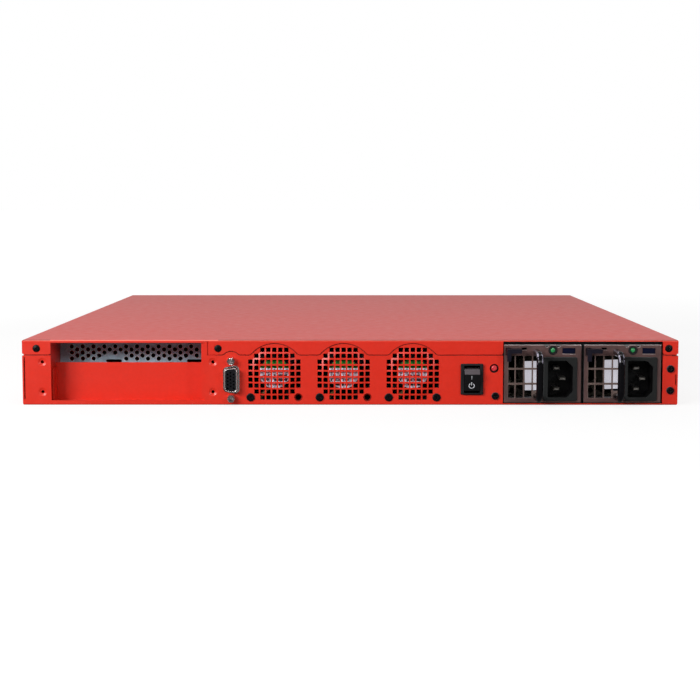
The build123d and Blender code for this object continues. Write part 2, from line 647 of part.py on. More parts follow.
def psu_led(left):
    """The green indicator, a round-nosed light guide."""
    x, z = left + 32.3, 36.9
    lens = rod_y(1.6, (PSU_FACE - 1.2, PSU_FACE + 5), x, z)
    rim = lens.edges().filter_by(GeomType.CIRCLE).sort_by(Axis.Y)[0]
    return fillet(rim, 1.1)


def psu_board(left):
    """The converter board with its large parts and the card edge that plugs in at the inner end."""
    y = (REAR + 62.0, PSU_FACE + PSU_LENGTH + 5.0)
    x = (left + 2.5, left + PSU_WIDTH - 2.5)
    z = (PSU_Z[0] + 3.0, PSU_Z[0] + 3.0 + PCB)
    inner_end = PSU_FACE + PSU_LENGTH - 3
    body = block(x, (y[0], inner_end), z) + block((x[0] + 4, x[1] - 4), (inner_end, y[1]), z)
    up = z[1]
    body += block((left + 8, left + 32), (REAR + 95, REAR + 121), (up, up + 24))
    body += block((left + 36, left + 42), (REAR + 74, REAR + 166), (up, up + 26))
    body += Pos(left + 18, REAR + 78, up) * Cylinder(9.5, 27, align=(Align.CENTER, Align.CENTER, Align.MIN))
    body += Pos(left + 18, REAR + 140, up) * Cylinder(8.0, 18, align=(Align.CENTER, Align.CENTER, Align.MIN))
    return body


# ---------------------------------------------------------------- inside the tray
CAGE_BACK = REAR + 192.0
BACKPLANE_Y = (REAR + 200.0, REAR + 201.6)


def psu_cage():
    """Guide cage for the two supplies: floor, side walls, divider and roof."""
    y = (REAR_INSIDE + 0.2, CAGE_BACK)
    z = (SHEET + 0.05, WALL_TOP - 0.3)
    walls = [(101.2, 102.0), (154.75, 155.55), (208.9, 209.7)]
    body = block((101.2, 209.7), y, (z[1] - 0.8, z[1])) + block((101.2, 209.7), y, (z[0], PSU_Z[0] - 0.1))
    for wall in walls:
        body += block(wall, y, z)
    return body


def psu_backplane():
    """Power board across the inner end of the cage, with one edge socket for each supply."""
    body = block((101.5, 209.5), BACKPLANE_Y, (4.0, 40.0))
    for left in PSU_LEFT:
        right, low = left + PSU_WIDTH, PSU_Z[0]
        socket = block((left + 4, right - 4), (REAR + 191.5, BACKPLANE_Y[0]), (low + 0.6, low + 7.2))
        socket -= block((left + 5.6, right - 5.6), (REAR + 190, REAR + 196), (low + 2.8, low + 4.8))
        body += socket
    return body


BOARD_X = (-208.0, 92.0)
BOARD_Y = (-200.0, 222.0)
STANDOFFS = [(x, y) for x in (-200.0, -58.0, 84.0) for y in (-120.0, 60.0, 180.0)]


def mainboard():
    """The main circuit board with its memory sockets, chipset cover and power connector."""
    body = block(BOARD_X, BOARD_Y, (BOARD_Z, BOARD_Z + PCB))
    body -= block((BOARD_X[0] - 1, -95.0), (BOARD_Y[0] - 1, -150), (0, 20))
    up = BOARD_Z + PCB
    for x in MEMORY_X:
        socket = block((x - 3.2, x + 3.2), (-80, 60), (up, up + 6))
        body += socket - block((x - 0.8, x + 0.8), (-75, 55), (up + 2, up + 7))
    body += block((-150, -118), (90, 122), (up, up + 3.5))
    body += block((70, 82), (-60, -20), (up, up + 12))
    body += block((-40, -18), (165, 185), (up, up + 2.5))
    holes = [Pos(x, y, BOARD_Z + PCB / 2) * Cylinder(1.7, PCB + 1) for x, y in STANDOFFS]
    return body - holes


MEMORY_X = (14.0, 24.0, 44.0, 54.0)


def board_standoffs():
    """Hexagonal pillars under the main board, each with its screw head above it."""
    pillars = []
    for x, y in STANDOFFS:
        pillar = extrude(Pos(x, y, SHEET) * RegularPolygon(2.9, 6), amount=BOARD_Z - SHEET)
        stem = Pos(x, y, BOARD_Z) * Cylinder(1.5, PCB, align=(Align.CENTER, Align.CENTER, Align.MIN))
        head = Pos(x, y, BOARD_Z + PCB) * Cylinder(2.8, 1.8, align=(Align.CENTER, Align.CENTER, Align.MIN))
        pillars.append(pillar + stem + head)
    return Part() + pillars


def memory_modules():
    """Two memory modules standing in their sockets."""
    up = BOARD_Z + PCB + 2.2
    modules = []
    for x in (MEMORY_X[0], MEMORY_X[2]):
        module = block((x - 0.6, x + 0.6), (-74, 54), (up, up + 29))
        for i in range(8):
            chip_y = -68 + i * 15.2
            module += block((x + 0.6, x + 1.7), (chip_y, chip_y + 11), (up + 12, up + 24))
        modules.append(module)
    return Part() + modules


def cpu_heatsink():
    """Finned cooler on the processor, its fins along the air flow."""
    x, y, up = (-96.0, -12.0), (-60.0, 24.0), BOARD_Z + PCB
    body = block((x[0] + 22, x[1] - 22), (y[0] + 22, y[1] - 22), (up, up + 3))
    body += block(x, y, (up + 3, up + 7))
    count = 21
    pitch = (x[1] - x[0] - 1.2) / (count - 1)
    for i in range(count):
        fin_x = x[0] + i * pitch
        body += block((fin_x, fin_x + 1.2), y, (up + 7, up + 30))
    return body


# ---------------------------------------------------------------- front panel
LCD_X = (124.0, 196.0)
LCD_Z = (12.0, 32.0)
KEY_X = 100.0
KEY_Z = 21.8
KEY_REACH = 8.5
KEY_SIZE = 6.6
LED_X = 80.0
LED_Z = (13.8, 21.8, 29.8)
CONSOLE_X = 61.0
USB_X = 40.0
PORT_Z = 21.8
JACK_PITCH_X = 14.2
JACK_COLUMNS = (24.0 - 14.2, 24.0 - 2 * 14.2, 24.0 - 3 * 14.2)
JACK_ROWS = (15.0, 28.6)
SFP_X = (-48.0, -64.0)
JACK_OPEN = (11.8, 8.0, 15.0)


def key_places():
    """Name and middle of each of the four keys, in a diamond."""
    return {
        "up": (KEY_X, KEY_Z + KEY_REACH),
        "down": (KEY_X, KEY_Z - KEY_REACH),
        "left": (KEY_X + KEY_REACH, KEY_Z),
        "right": (KEY_X - KEY_REACH, KEY_Z),
    }


def front_panel():
    """Flat front plate with openings for the display, keys, indicators, ports and intake slots."""
    plate = fillet(rect((-HALF_W, HALF_W), (0, HEIGHT)).vertices(), 1.0)
    plate -= rect(LCD_X, LCD_Z)
    plate -= [Pos(*middle) * Circle(KEY_SIZE / 2 + 0.25) for middle in key_places().values()]
    plate -= [Pos(LED_X, z) * Circle(1.6) for z in LED_Z]
    plate -= rect((CONSOLE_X - 8.0, CONSOLE_X + 8.0), (PORT_Z - 7.0, PORT_Z + 7.0))
    plate -= rect((USB_X - 6.9, USB_X + 6.9), (PORT_Z - 7.9, PORT_Z + 7.9))
    block_x = (JACK_COLUMNS[-1] - 7.4, JACK_COLUMNS[0] + 7.4)
    plate -= rect(block_x, (7.6, 36.0))
    plate -= rect((SFP_X[1] - 7.9, SFP_X[0] + 7.9), (PORT_Z - 5.6, PORT_Z + 5.6))
    plate -= [Pos(-95.0 - 5.0 * i, HEIGHT / 2) * SlotOverall(26.0, 2.4, rotation=90) for i in range(22)]
    plate -= [Pos(side * (HALF_W - 7), z) * Circle(1.6) for side in (-1, 1) for z in (7.0, HEIGHT - 7.0)]
    body = upright(plate, (TRAY_FRONT, FRONT))
    rim = body.faces().sort_by(Axis.Y)[-1].outer_wire().edges()
    return fillet(rim, 0.6)


def front_screws():
    """Four pan-head screws at the corners of the front panel, into brackets on the tray."""
    places = [(side * (HALF_W - 7), z) for side in (-1, 1) for z in (7.0, HEIGHT - 7.0)]
    return Part() + [Rot(0, 0, 180) * pan_screw(-x, -FRONT, z, length=6.0) for x, z in places]


def jack_cavity(x, z, tab):
    """One eight-contact jack opening with its latch step; tab is +1 with the latch above and -1 below."""
    wide, high, deep = JACK_OPEN
    y = (FRONT - deep, FRONT + 3)
    body = block((x - wide / 2, x + wide / 2), y, (z - high / 2, z + high / 2))
    step = sorted((z + tab * high / 2, z + tab * (high / 2 + 2.4)))
    return body + block((x - 3.2, x + 3.2), y, step)


def ethernet_jacks():
    """A shielded block of six network jacks in two rows, latches towards the outside."""
    x = (JACK_COLUMNS[-1] - 7.2, JACK_COLUMNS[0] + 7.2)
    body = block(x, (FRONT - 22, FRONT + 0.6), (7.8, 35.8))
    for column in JACK_COLUMNS:
        body -= jack_cavity(column, JACK_ROWS[0], -1)
        body -= jack_cavity(column, JACK_ROWS[1], 1)
    return body


def console_jack():
    """The single console jack."""
    body = block((CONSOLE_X - 7.8, CONSOLE_X + 7.8), (FRONT - 20, FRONT + 0.6), (PORT_Z - 6.8, PORT_Z + 6.8))
    return body - jack_cavity(CONSOLE_X, PORT_Z - 0.9, 1)


def usb_ports():
    """Two stacked USB sockets in one shell, each with its tongue."""
    body = block((USB_X - 6.7, USB_X + 6.7), (FRONT - 16, FRONT + 0.6), (PORT_Z - 7.7, PORT_Z + 7.7))
    for z in (PORT_Z - 3.9, PORT_Z + 3.9):
        body -= block((USB_X - 6.1, USB_X + 6.1), (FRONT - 10, FRONT + 2), (z - 2.55, z + 2.55))
        body += block((USB_X - 5.6, USB_X + 5.6), (FRONT - 10.1, FRONT - 0.4), (z + 0.2, z + 2.0))
    return body


def sfp_cages():
    """Two open cages side by side for plug-in optical modules."""
    x = (SFP_X[1] - 7.7, SFP_X[0] + 7.7)
    z = (PORT_Z - 5.4, PORT_Z + 5.4)
    body = block(x, (FRONT - 48, FRONT + 0.8), z)
    for middle in SFP_X:
        body -= block((middle - 7.0, middle + 7.0), (FRONT - 47, FRONT + 2), (z[0] + 0.6, z[1] - 0.6))
    return body


def display_board():
    """Board behind the front panel that carries the display and a push switch behind each key."""
    frame = rect((LCD_X[0] - 4, LCD_X[1] + 4), (LCD_Z[0] - 4, LCD_Z[1] + 4))
    reach = KEY_REACH + 6
    keypad = rect((KEY_X - reach, LCD_X[0]), (LCD_Z[0] - 4, LCD_Z[1] + 4))
    body = upright(frame + keypad, (TRAY_FRONT - 9.6, TRAY_FRONT - 8.0))
    display_x, display_z = (LCD_X[0] - 1, LCD_X[1] + 1), (LCD_Z[0] - 1, LCD_Z[1] + 1)
    body += block(display_x, (TRAY_FRONT - 8.0, TRAY_FRONT - 0.6), display_z)
    body -= block((LCD_X[0] + 3, LCD_X[1] - 3), (TRAY_FRONT - 1.6, TRAY_FRONT), (LCD_Z[0] + 3, LCD_Z[1] - 3))
    for x, z in key_places().values():
        body += block((x - 3, x + 3), (TRAY_FRONT - 8.0, TRAY_FRONT - 4.2), (z - 3, z + 3))
    return body


def lcd_lens():
    """The clear window that fills the display opening."""
    outline = rect((LCD_X[0] + 0.1, LCD_X[1] - 0.1), (LCD_Z[0] + 0.1, LCD_Z[1] - 0.1))
    return upright(fillet(outline.vertices(), 0.4), (TRAY_FRONT - 0.4, FRONT - 0.4))


def key_cap(x, z):
    """One round key with a collar that keeps it behind the panel."""
    cap = rod_y(KEY_SIZE / 2, (TRAY_FRONT - 3.0, FRONT + 1.4), x, z)
    rim = cap.edges().filter_by(GeomType.CIRCLE).sort_by(Axis.Y)[-1]
    return fillet(rim, 0.6) + rod_y(KEY_SIZE / 2 + 0.7, (TRAY_FRONT - 1.2, TRAY_FRONT - 0.2), x, z)


def status_leds():
    """Three light guides that end flush with the front panel."""
    return Part() + [rod_y(1.5, (TRAY_FRONT - 8, FRONT + 0.2), LED_X, z) for z in LED_Z]


# ---------------------------------------------------------------- export
def fan_place(x):
    return Pos(x, REAR_INSIDE, FAN_Z)


def psu_fan_place(left):
    return Pos(left + PSU_FAN_X, REAR + PSU_FAN_DEPTH, (PSU_Z[0] + PSU_Z[1]) / 2)


def write_parts():
    os.makedirs("parts", exist_ok=True)
    save(tray(), "tray")
    save(rear_wall(), "rear_wall")
    save(top_cover(), "top_cover")
    save(bay_bracket(), "bay_bracket")
    save(vent_plate(), "vent_plate")
    cover_screws = [sunk_screw(x, REAR, z) for x, z in LIP_SCREWS]
    cover_screws += [side_screw(side, y, COVER_SCREW_Z) for side in (-1, 1) for y in COVER_SCREW_Y]
    save(Part() + cover_screws, "cover_screws")
    save(Part() + [pan_screw(x, REAR, z) for x, z in WALL_SCREWS], "wall_screws")
    fan_screws = [
        pan_screw(x, REAR, FAN_SCREW_Z, head_r=FAN_SCREW_R, shank_r=1.8, length=9.0, head_h=0.9)
        for x in (fan_hole_xs()[0], fan_hole_xs()[2], fan_hole_xs()[4], fan_hole_xs()[5])
    ]
    save(Part() + fan_screws, "fan_screws")

    frame = fan_frame(FAN_SIZE, FAN_LENGTH, FAN_HOLE_PITCH, FAN_HUB_R)
    rotor = fan_rotor(FAN_SIZE, FAN_LENGTH, FAN_HUB_R)
    for number, x in enumerate(FAN_X, 1):
        save(fan_place(x) * frame, f"fan_{number}_frame")
        save(fan_place(x) * rotor, f"fan_{number}_rotor")

    save(vga_shell(), "vga_shell")
    save(vga_insulator(), "vga_insulator")
    jacks = [vga_jackscrew(VGA_Z + side * JACK_PITCH / 2) for side in (-1, 1)]
    save(Part() + jacks, "vga_jackscrews")
    save(switch_housing(), "switch_housing")
    save(power_rocker(), "power_rocker")
    save(alarm_button(), "alarm_button")
    save(alarm_switch_body(), "alarm_switch_body")

    small_frame = fan_frame(PSU_FAN_SIZE, FAN_LENGTH, 30.0, PSU_FAN_HUB_R)
    small_rotor = fan_rotor(PSU_FAN_SIZE, FAN_LENGTH, PSU_FAN_HUB_R)
    for number, left in enumerate(PSU_LEFT, 1):
        name = f"psu_{number}"
        save(psu_case(left), f"{name}_case")
        save(psu_faceplate(left), f"{name}_faceplate")
        save(psu_inlet(left), f"{name}_inlet")
        save(psu_inlet_pins(left), f"{name}_inlet_pins")
        save(psu_handle(left), f"{name}_handle")
        save(psu_latch(left), f"{name}_latch")
        save(psu_led(left), f"{name}_led")
        save(psu_board(left), f"{name}_board")
        save(psu_fan_place(left) * small_frame, f"{name}_fan_frame")
        save(psu_fan_place(left) * small_rotor, f"{name}_fan_rotor")

    save(psu_cage(), "psu_cage")
    save(psu_backplane(), "psu_backplane")
    save(mainboard(), "mainboard")
    save(board_standoffs(), "board_standoffs")
    save(memory_modules(), "memory_modules")
    save(cpu_heatsink(), "cpu_heatsink")

    save(front_panel(), "front_panel")
    save(front_screws(), "front_screws")
    save(ethernet_jacks(), "ethernet_jacks")
    save(console_jack(), "console_jack")
    save(usb_ports(), "usb_ports")
    save(sfp_cages(), "sfp_cages")
    save(display_board(), "display_board")
    save(lcd_lens(), "lcd_lens")
    save(status_leds(), "status_leds")
    for name, (x, z) in key_places().items():
        save(key_cap(x, z), f"key_{name}")


write_parts()
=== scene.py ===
import json
import math

import bmesh
import bpy
from mathutils import Matrix, Vector


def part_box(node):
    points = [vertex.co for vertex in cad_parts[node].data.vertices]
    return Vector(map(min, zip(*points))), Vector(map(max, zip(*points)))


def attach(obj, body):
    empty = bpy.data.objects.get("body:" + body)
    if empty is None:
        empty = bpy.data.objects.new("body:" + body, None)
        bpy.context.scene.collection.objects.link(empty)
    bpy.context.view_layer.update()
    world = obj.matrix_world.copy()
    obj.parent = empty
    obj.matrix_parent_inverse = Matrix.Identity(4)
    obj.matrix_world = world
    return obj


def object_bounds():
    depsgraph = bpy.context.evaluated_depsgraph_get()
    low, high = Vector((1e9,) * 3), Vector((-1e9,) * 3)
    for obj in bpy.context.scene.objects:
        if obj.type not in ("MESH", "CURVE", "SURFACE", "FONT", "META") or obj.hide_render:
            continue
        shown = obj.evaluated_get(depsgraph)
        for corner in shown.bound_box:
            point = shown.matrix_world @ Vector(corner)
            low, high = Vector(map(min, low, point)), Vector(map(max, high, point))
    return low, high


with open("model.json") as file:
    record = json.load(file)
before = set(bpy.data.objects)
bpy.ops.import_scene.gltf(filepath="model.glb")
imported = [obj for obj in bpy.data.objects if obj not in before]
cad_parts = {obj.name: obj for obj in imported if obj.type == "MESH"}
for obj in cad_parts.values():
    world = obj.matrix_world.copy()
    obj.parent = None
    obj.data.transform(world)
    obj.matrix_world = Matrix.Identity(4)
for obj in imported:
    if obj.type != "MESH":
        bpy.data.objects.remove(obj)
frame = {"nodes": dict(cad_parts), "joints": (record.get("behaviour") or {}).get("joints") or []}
cad_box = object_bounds()
nodes = frame["nodes"]
MM = 0.001

# ---------------------------------------------------------------- places on the case
# The grilles stand proud of the rear wall, so the wall's own face lies behind the wall's box.
GRILLE_RISE = 1.1 * MM
WALL_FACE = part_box("rear_wall")[0][1] + GRILLE_RISE
BAY_LEFT, BAY_RIGHT, BAY_TOP = -200.1 * MM, -87.9 * MM, 31.9 * MM
VENT_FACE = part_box("vent_plate")[0][1]
CASE_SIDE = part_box("tray")[1][0]
# The height above which the rear fold gets a painted highlight, and how far a fan's hub lies behind its
# frame's front.
CREST = 42.6 * MM
HUB_SINK = 0.4 * MM


# ---------------------------------------------------------------- colour and node helpers
def srgb(r, g, b):
    """An 8-bit screen colour as the linear RGBA that Blender uses."""
    linear = [c / 255 / 12.92 if c <= 10 else ((c / 255 + 0.055) / 1.055) ** 2.4 for c in (r, g, b)]
    return (*linear, 1.0)


def shade(colour, k):
    """A linear colour made k times as bright, held at white."""
    return (*[min(c * k, 1.0) for c in colour[:3]], 1.0)


class Look:
    """A material under construction: small methods that add nodes in object coordinates, in metres."""

    def __init__(self, name, colour, rough=0.5, metal=0.0, **sockets):
        self.material = bpy.data.materials.new(name)
        self.material.use_nodes = True
        self.tree = self.material.node_tree
        self.tree.nodes.clear()
        output = self.tree.nodes.new("ShaderNodeOutputMaterial")
        self.shader = self.tree.nodes.new("ShaderNodeBsdfPrincipled")
        self.tree.links.new(self.shader.outputs[0], output.inputs[0])
        self.shader.inputs["Base Color"].default_value = colour
        self.shader.inputs["Roughness"].default_value = rough
        self.shader.inputs["Metallic"].default_value = metal
        for socket, value in sockets.items():
            self.shader.inputs[socket.replace("_", " ")].default_value = value
        self.place = self.tree.nodes.new("ShaderNodeTexCoord").outputs["Object"]
        self.colour = colour
        self.height = None

    def join(self, source, target):
        """Links a node's output to a socket, or sets the socket to a plain value."""
        if hasattr(source, "is_output"):
            self.tree.links.new(source, target)
        else:
            target.default_value = source

    def stretched(self, x, y, z):
        """Object coordinates scaled by a factor on each axis."""
        mapping = self.tree.nodes.new("ShaderNodeMapping")
        self.join(self.place, mapping.inputs["Vector"])
        mapping.inputs["Scale"].default_value = (x, y, z)
        return mapping.outputs[0]

    def noise(self, scale, detail=2.0, where=None):
        """Clouds of 0 to 1, about 1/scale metres across."""
        node = self.tree.nodes.new("ShaderNodeTexNoise")
        self.join(where or self.place, node.inputs["Vector"])
        node.inputs["Scale"].default_value = scale
        node.inputs["Detail"].default_value = detail
        return node.outputs["Fac"]

    def cells(self, scale, feature="F1", output="Color"):
        """Cells about 1/scale metres across."""
        node = self.tree.nodes.new("ShaderNodeTexVoronoi")
        node.feature = feature
        self.join(self.place, node.inputs["Vector"])
        node.inputs["Scale"].default_value = scale
        return node.outputs[output]

    def span(self, value, low, high, to_low=0.0, to_high=1.0):
        """Maps a value from one range onto another, held at both ends."""
        node = self.tree.nodes.new("ShaderNodeMapRange")
        self.join(value, node.inputs["Value"])
        node.inputs["From Min"].default_value = low
        node.inputs["From Max"].default_value = high
        node.inputs["To Min"].default_value = to_low
        node.inputs["To Max"].default_value = to_high
        return node.outputs["Result"]

    def maths(self, operation, a, b=0.0):
        """One sum, difference, product or the like of one or two values."""
        node = self.tree.nodes.new("ShaderNodeMath")
        node.operation = operation
        self.join(a, node.inputs[0])
        self.join(b, node.inputs[1])
        return node.outputs[0]

    def product(self, first, *others):
        """Several values multiplied together."""
        for other in others:
            first = self.maths("MULTIPLY", first, other)
        return first

    def axes(self, vector):
        """A vector or a colour split into outputs named X, Y and Z."""
        node = self.tree.nodes.new("ShaderNodeSeparateXYZ")
        self.join(vector, node.inputs[0])
        return node.outputs

    def axis(self, which):
        """The place along one axis of the object."""
        return self.axes(self.place)[which.upper()]

    def facing(self, which):
        """The surface's own normal along one axis of the object."""
        normal = self.tree.nodes.new("ShaderNodeTexCoord").outputs["Normal"]
        return self.axes(normal)[which.upper()]

    def between(self, value, low, high, soft=0.00005):
        """1 inside a range of a value and 0 outside it."""
        rise = self.span(value, low - soft, low + soft)
        fall = self.span(value, high - soft, high + soft, 1.0, 0.0)
        return self.product(rise, fall)

    def paint(self, factor, colour):
        """Lays a colour over what is there already."""
        node = self.tree.nodes.new("ShaderNodeMix")
        node.data_type = "RGBA"
        self.join(factor, node.inputs["Factor"])
        self.join(self.colour, node.inputs[6])
        self.join(colour, node.inputs[7])
        self.colour = node.outputs[2]
        self.join(self.colour, self.shader.inputs["Base Color"])
        return self

    def mottle(self, scale, amount, detail=3.0):
        """Lightens and darkens the colour a little, in clouds."""
        grey = self.span(self.noise(scale, detail), 0.3, 0.7, 1.0 - amount, 1.0 + amount)
        mixer = self.tree.nodes.new("ShaderNodeVectorMath")
        mixer.operation = "SCALE"
        self.join(self.colour if hasattr(self.colour, "is_output") else self.colour[:3], mixer.inputs[0])
        self.join(grey, mixer.inputs["Scale"])
        self.colour = mixer.outputs[0]
        self.join(self.colour, self.shader.inputs["Base Color"])
        return self

    def gloss(self, scale, low, high, detail=3.0):
        """Varies the roughness between two values."""
        rough = self.span(self.noise(scale, detail), 0.3, 0.7, low, high)
        self.join(rough, self.shader.inputs["Roughness"])
        return self

    def relief(self, height, depth, strength=1.0):
        """Bump from a height of 0 to 1 that stands for depth metres. Several calls stack."""
        bump = self.tree.nodes.new("ShaderNodeBump")
        bump.inputs["Distance"].default_value = depth
        bump.inputs["Strength"].default_value = strength
        self.join(height, bump.inputs["Height"])
        if self.height:
            self.join(self.height, bump.inputs["Normal"])
        self.height = bump.outputs[0]
        self.join(self.height, self.shader.inputs["Normal"])
        return self


# ---------------------------------------------------------------- finishes
def powder_coat(name):
    """Red satin powder coat with orange peel and faint clouds, with painted highlights on the outer folds
    and along the cover's rear fold crest, and painted shade in the seams just behind the rear wall's face."""
    look = Look(name, srgb(216, 41, 22), rough=0.34, Specular_IOR_Level=0.42)
    look.mottle(9, 0.012).mottle(420, 0.03)

    side, top = cad_box[1][0], cad_box[1][2]
    # Painted highlight: a lighter red laid in patches along the outer folds at the sides, top and bottom.
    outer = look.span(look.maths("ABSOLUTE", look.axis("x")), side - 1.0 * MM, side - 0.1 * MM)
    bottom_fold = look.span(look.axis("z"), 0.2 * MM, 0.9 * MM, 1.0, 0.0)
    top_fold = look.span(look.axis("z"), top - 0.9 * MM, top - 0.1 * MM)
    patchy = look.span(look.noise(160, 4), 0.46, 0.62)
    thin = look.product(outer, look.maths("MAXIMUM", bottom_fold, top_fold), patchy, 0.35)
    look.paint(thin, srgb(232, 120, 104))

    # Painted highlight along the crest of the cover's rear fold, on the surfaces that face up.
    at_rear = look.span(look.axis("y"), WALL_FACE + 0.5 * MM, WALL_FACE + 1.1 * MM, 1.0, 0.0)
    upward = look.span(look.facing("z"), 0.15, 0.5)
    crest = look.span(look.axis("z"), CREST - 0.2 * MM, CREST + 0.2 * MM)
    look.paint(look.product(at_rear, upward, crest, 0.95), srgb(255, 122, 106))

    # Painted shade: dark red in the seams just behind the rear wall's face, beside and above the bay.
    behind = look.between(look.axis("y"), WALL_FACE + 0.16 * MM, WALL_FACE + 1.5 * MM)
    right = look.span(look.axis("x"), BAY_RIGHT - 0.1 * MM, BAY_RIGHT + 0.1 * MM)
    above = look.span(look.axis("z"), BAY_TOP - 0.1 * MM, BAY_TOP + 0.1 * MM)
    left = look.span(look.axis("x"), BAY_LEFT - 0.1 * MM, BAY_LEFT + 0.1 * MM, 1.0, 0.0)
    seam_shade = look.maths("MAXIMUM", right, look.product(above, left))
    look.paint(look.product(behind, seam_shade, 0.75), srgb(88, 16, 12))

    look.gloss(160, 0.31, 0.38)
    look.relief(look.noise(950, 2), 0.00006, 0.4)
    look.relief(look.noise(2600, 1), 0.00002, 0.35)
    return look.material


def zinc_sheet(name, tone, spangle, metal=0.9, rim_highlight=None):
    """Galvanised sheet: crystals 1/spangle metres across that differ in tone and gloss, and fine roll lines.
    A painted highlight colour, where one is given, is laid on the surfaces that face up or to the left."""
    look = Look(name, srgb(*tone), rough=0.4, metal=metal)
    crystal = look.axes(look.cells(spangle))
    look.paint(look.span(crystal["X"], 0, 1, 0, 0.55), shade(srgb(*tone), 0.62))
    look.mottle(60, 0.08).mottle(1400, 0.12)
    look.join(look.span(crystal["Y"], 0, 1, 0.3, 0.52), look.shader.inputs["Roughness"])
    look.relief(look.noise(900, 2, look.stretched(0.05, 1, 1)), 0.00002, 0.4)
    look.relief(look.cells(spangle, "DISTANCE_TO_EDGE", "Distance"), 0.00002, 0.4)
    if rim_highlight:
        # Painted highlight on the rims that face up or to the left, towards the light.
        look.paint(look.span(look.facing("z"), 0.15, 0.5, 0.0, 0.95), rim_highlight)
        look.paint(look.span(look.facing("x"), -0.5, -0.15, 0.95, 0.0), rim_highlight)
    return look.material


def plated(name, tone, rough):
    """Bright plating with fine scratches and slight staining."""
    look = Look(name, srgb(*tone), rough=rough, metal=1.0)
    look.mottle(240, 0.06)
    look.gloss(520, rough - 0.06, rough + 0.12)
    look.relief(look.noise(1500, 3, look.stretched(0.15, 1, 1)), 0.00001, 0.5)
    return look.material


def black_oxide(name):
    """Blackened steel, with a painted highlight on the faces turned away from the rear: a screw's rim and
    recess walls.
    """
    look = Look(name, srgb(7, 7, 9), rough=0.36, Specular_IOR_Level=0.12)
    turned = look.maths("ABSOLUTE", look.facing("y"))
    # Painted highlight on the faces that turn away from the rear.
    look.paint(look.span(turned, 0.35, 0.75, 0.7, 0.0), srgb(92, 92, 100))
    look.mottle(900, 0.2)
    look.gloss(1300, 0.28, 0.5)
    look.relief(look.noise(2200, 2), 0.00002, 0.4)
    return look.material


def moulded(name, tone=(30, 30, 32), low=0.4, high=0.56, grain=0.00004, metal=0.0):
    """Moulded plastic, or plain paint, with a fine grain. The roughness lies between low and high."""
    look = Look(name, srgb(*tone), metal=metal, Specular_IOR_Level=0.15)
    look.mottle(120, 0.07)
    look.gloss(260, low, high)
    look.relief(look.cells(1500, "F1", "Distance"), grain, 0.45)
    look.relief(look.noise(3200, 2), grain / 3, 0.4)
    return look.material


def inlet_look(name):
    """Black moulding, greyer on the outer flange than in the deep socket, whose darkness is painted shade,
    and palest round the flange's front edge, which is a painted highlight.
    """
    look = Look(name, srgb(15, 15, 16), Specular_IOR_Level=0.15)
    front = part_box("psu_1_inlet")[0][1]
    # Painted shade: the socket more than about a millimetre behind the front stays darker than the flange.
    look.paint(look.span(look.axis("y"), front + 0.9 * MM, front + 1.3 * MM, 1.0, 0.0), srgb(33, 34, 34))
    # Painted highlight: a paler band round the flange's front edge.
    look.paint(look.between(look.axis("y"), front + 0.08 * MM, front + 0.7 * MM, 0.1 * MM), srgb(52, 53, 54))
    look.mottle(120, 0.07)
    look.gloss(260, 0.34, 0.48)
    look.relief(look.cells(1500, "F1", "Distance"), 0.00004, 0.45)
    return look.material


def rocker_face(name):
    """Black moulding whose upward slopes are painted a lighter grey, a painted highlight where the light
    falls.
    """
    look = Look(name, srgb(14, 14, 16), rough=0.3, Specular_IOR_Level=0.25)
    # Painted highlight on the upward slopes.
    look.paint(look.span(look.facing("z"), 0.12, 0.4), srgb(74, 67, 71))
    look.mottle(160, 0.08)
    look.gloss(260, 0.3, 0.42)
    look.relief(look.cells(1500, "F1", "Distance"), 0.00001, 0.45)
    return look.material


def foam(name):
    """Open-cell filter foam: near black, with pores about a millimetre across."""
    look = Look(name, srgb(20, 20, 21), rough=0.95, Specular_IOR_Level=0.1)
    pores = look.cells(1100, "F1", "Distance")
    look.paint(look.span(pores, 0.2, 0.5, 0.0, 0.8), srgb(6, 6, 7))
    look.mottle(200, 0.15)
    look.relief(pores, 0.0006, 0.9)
    return look.material


def gloss_paint(name):
    """Black enamelled bars: glossy, with faint handling marks and bright painted highlights beside the upper
    bends.
    """
    look = Look(name, srgb(5, 4, 7), rough=0.16, Specular_IOR_Level=0.15,
                Coat_Weight=0.12, Coat_Roughness=0.06)
    for supply in (1, 2):
        low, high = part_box(f"psu_{supply}_handle")
        off_axis = look.maths("ABSOLUTE", look.maths("SUBTRACT", look.axis("x"), (low[0] + high[0]) / 2))
        sides = look.between(off_axis, 1.0 * MM, 1.9 * MM, 0.3 * MM)
        bend = look.between(look.axis("z"), high[2] - 7.5 * MM, high[2] - 0.8 * MM, 1.2 * MM)
        glint_streak = look.span(look.noise(700, 2, look.stretched(1, 1, 0.3)), 0.42, 0.58)
        # Painted highlight: lilac streaks down both sides of the bar near its upper bend.
        look.paint(look.product(sides, bend, glint_streak, 0.8), srgb(206, 200, 220))
    look.mottle(300, 0.12)
    look.gloss(700, 0.1, 0.24, 4)
    look.relief(look.noise(420, 2), 0.00003, 0.25)
    return look.material


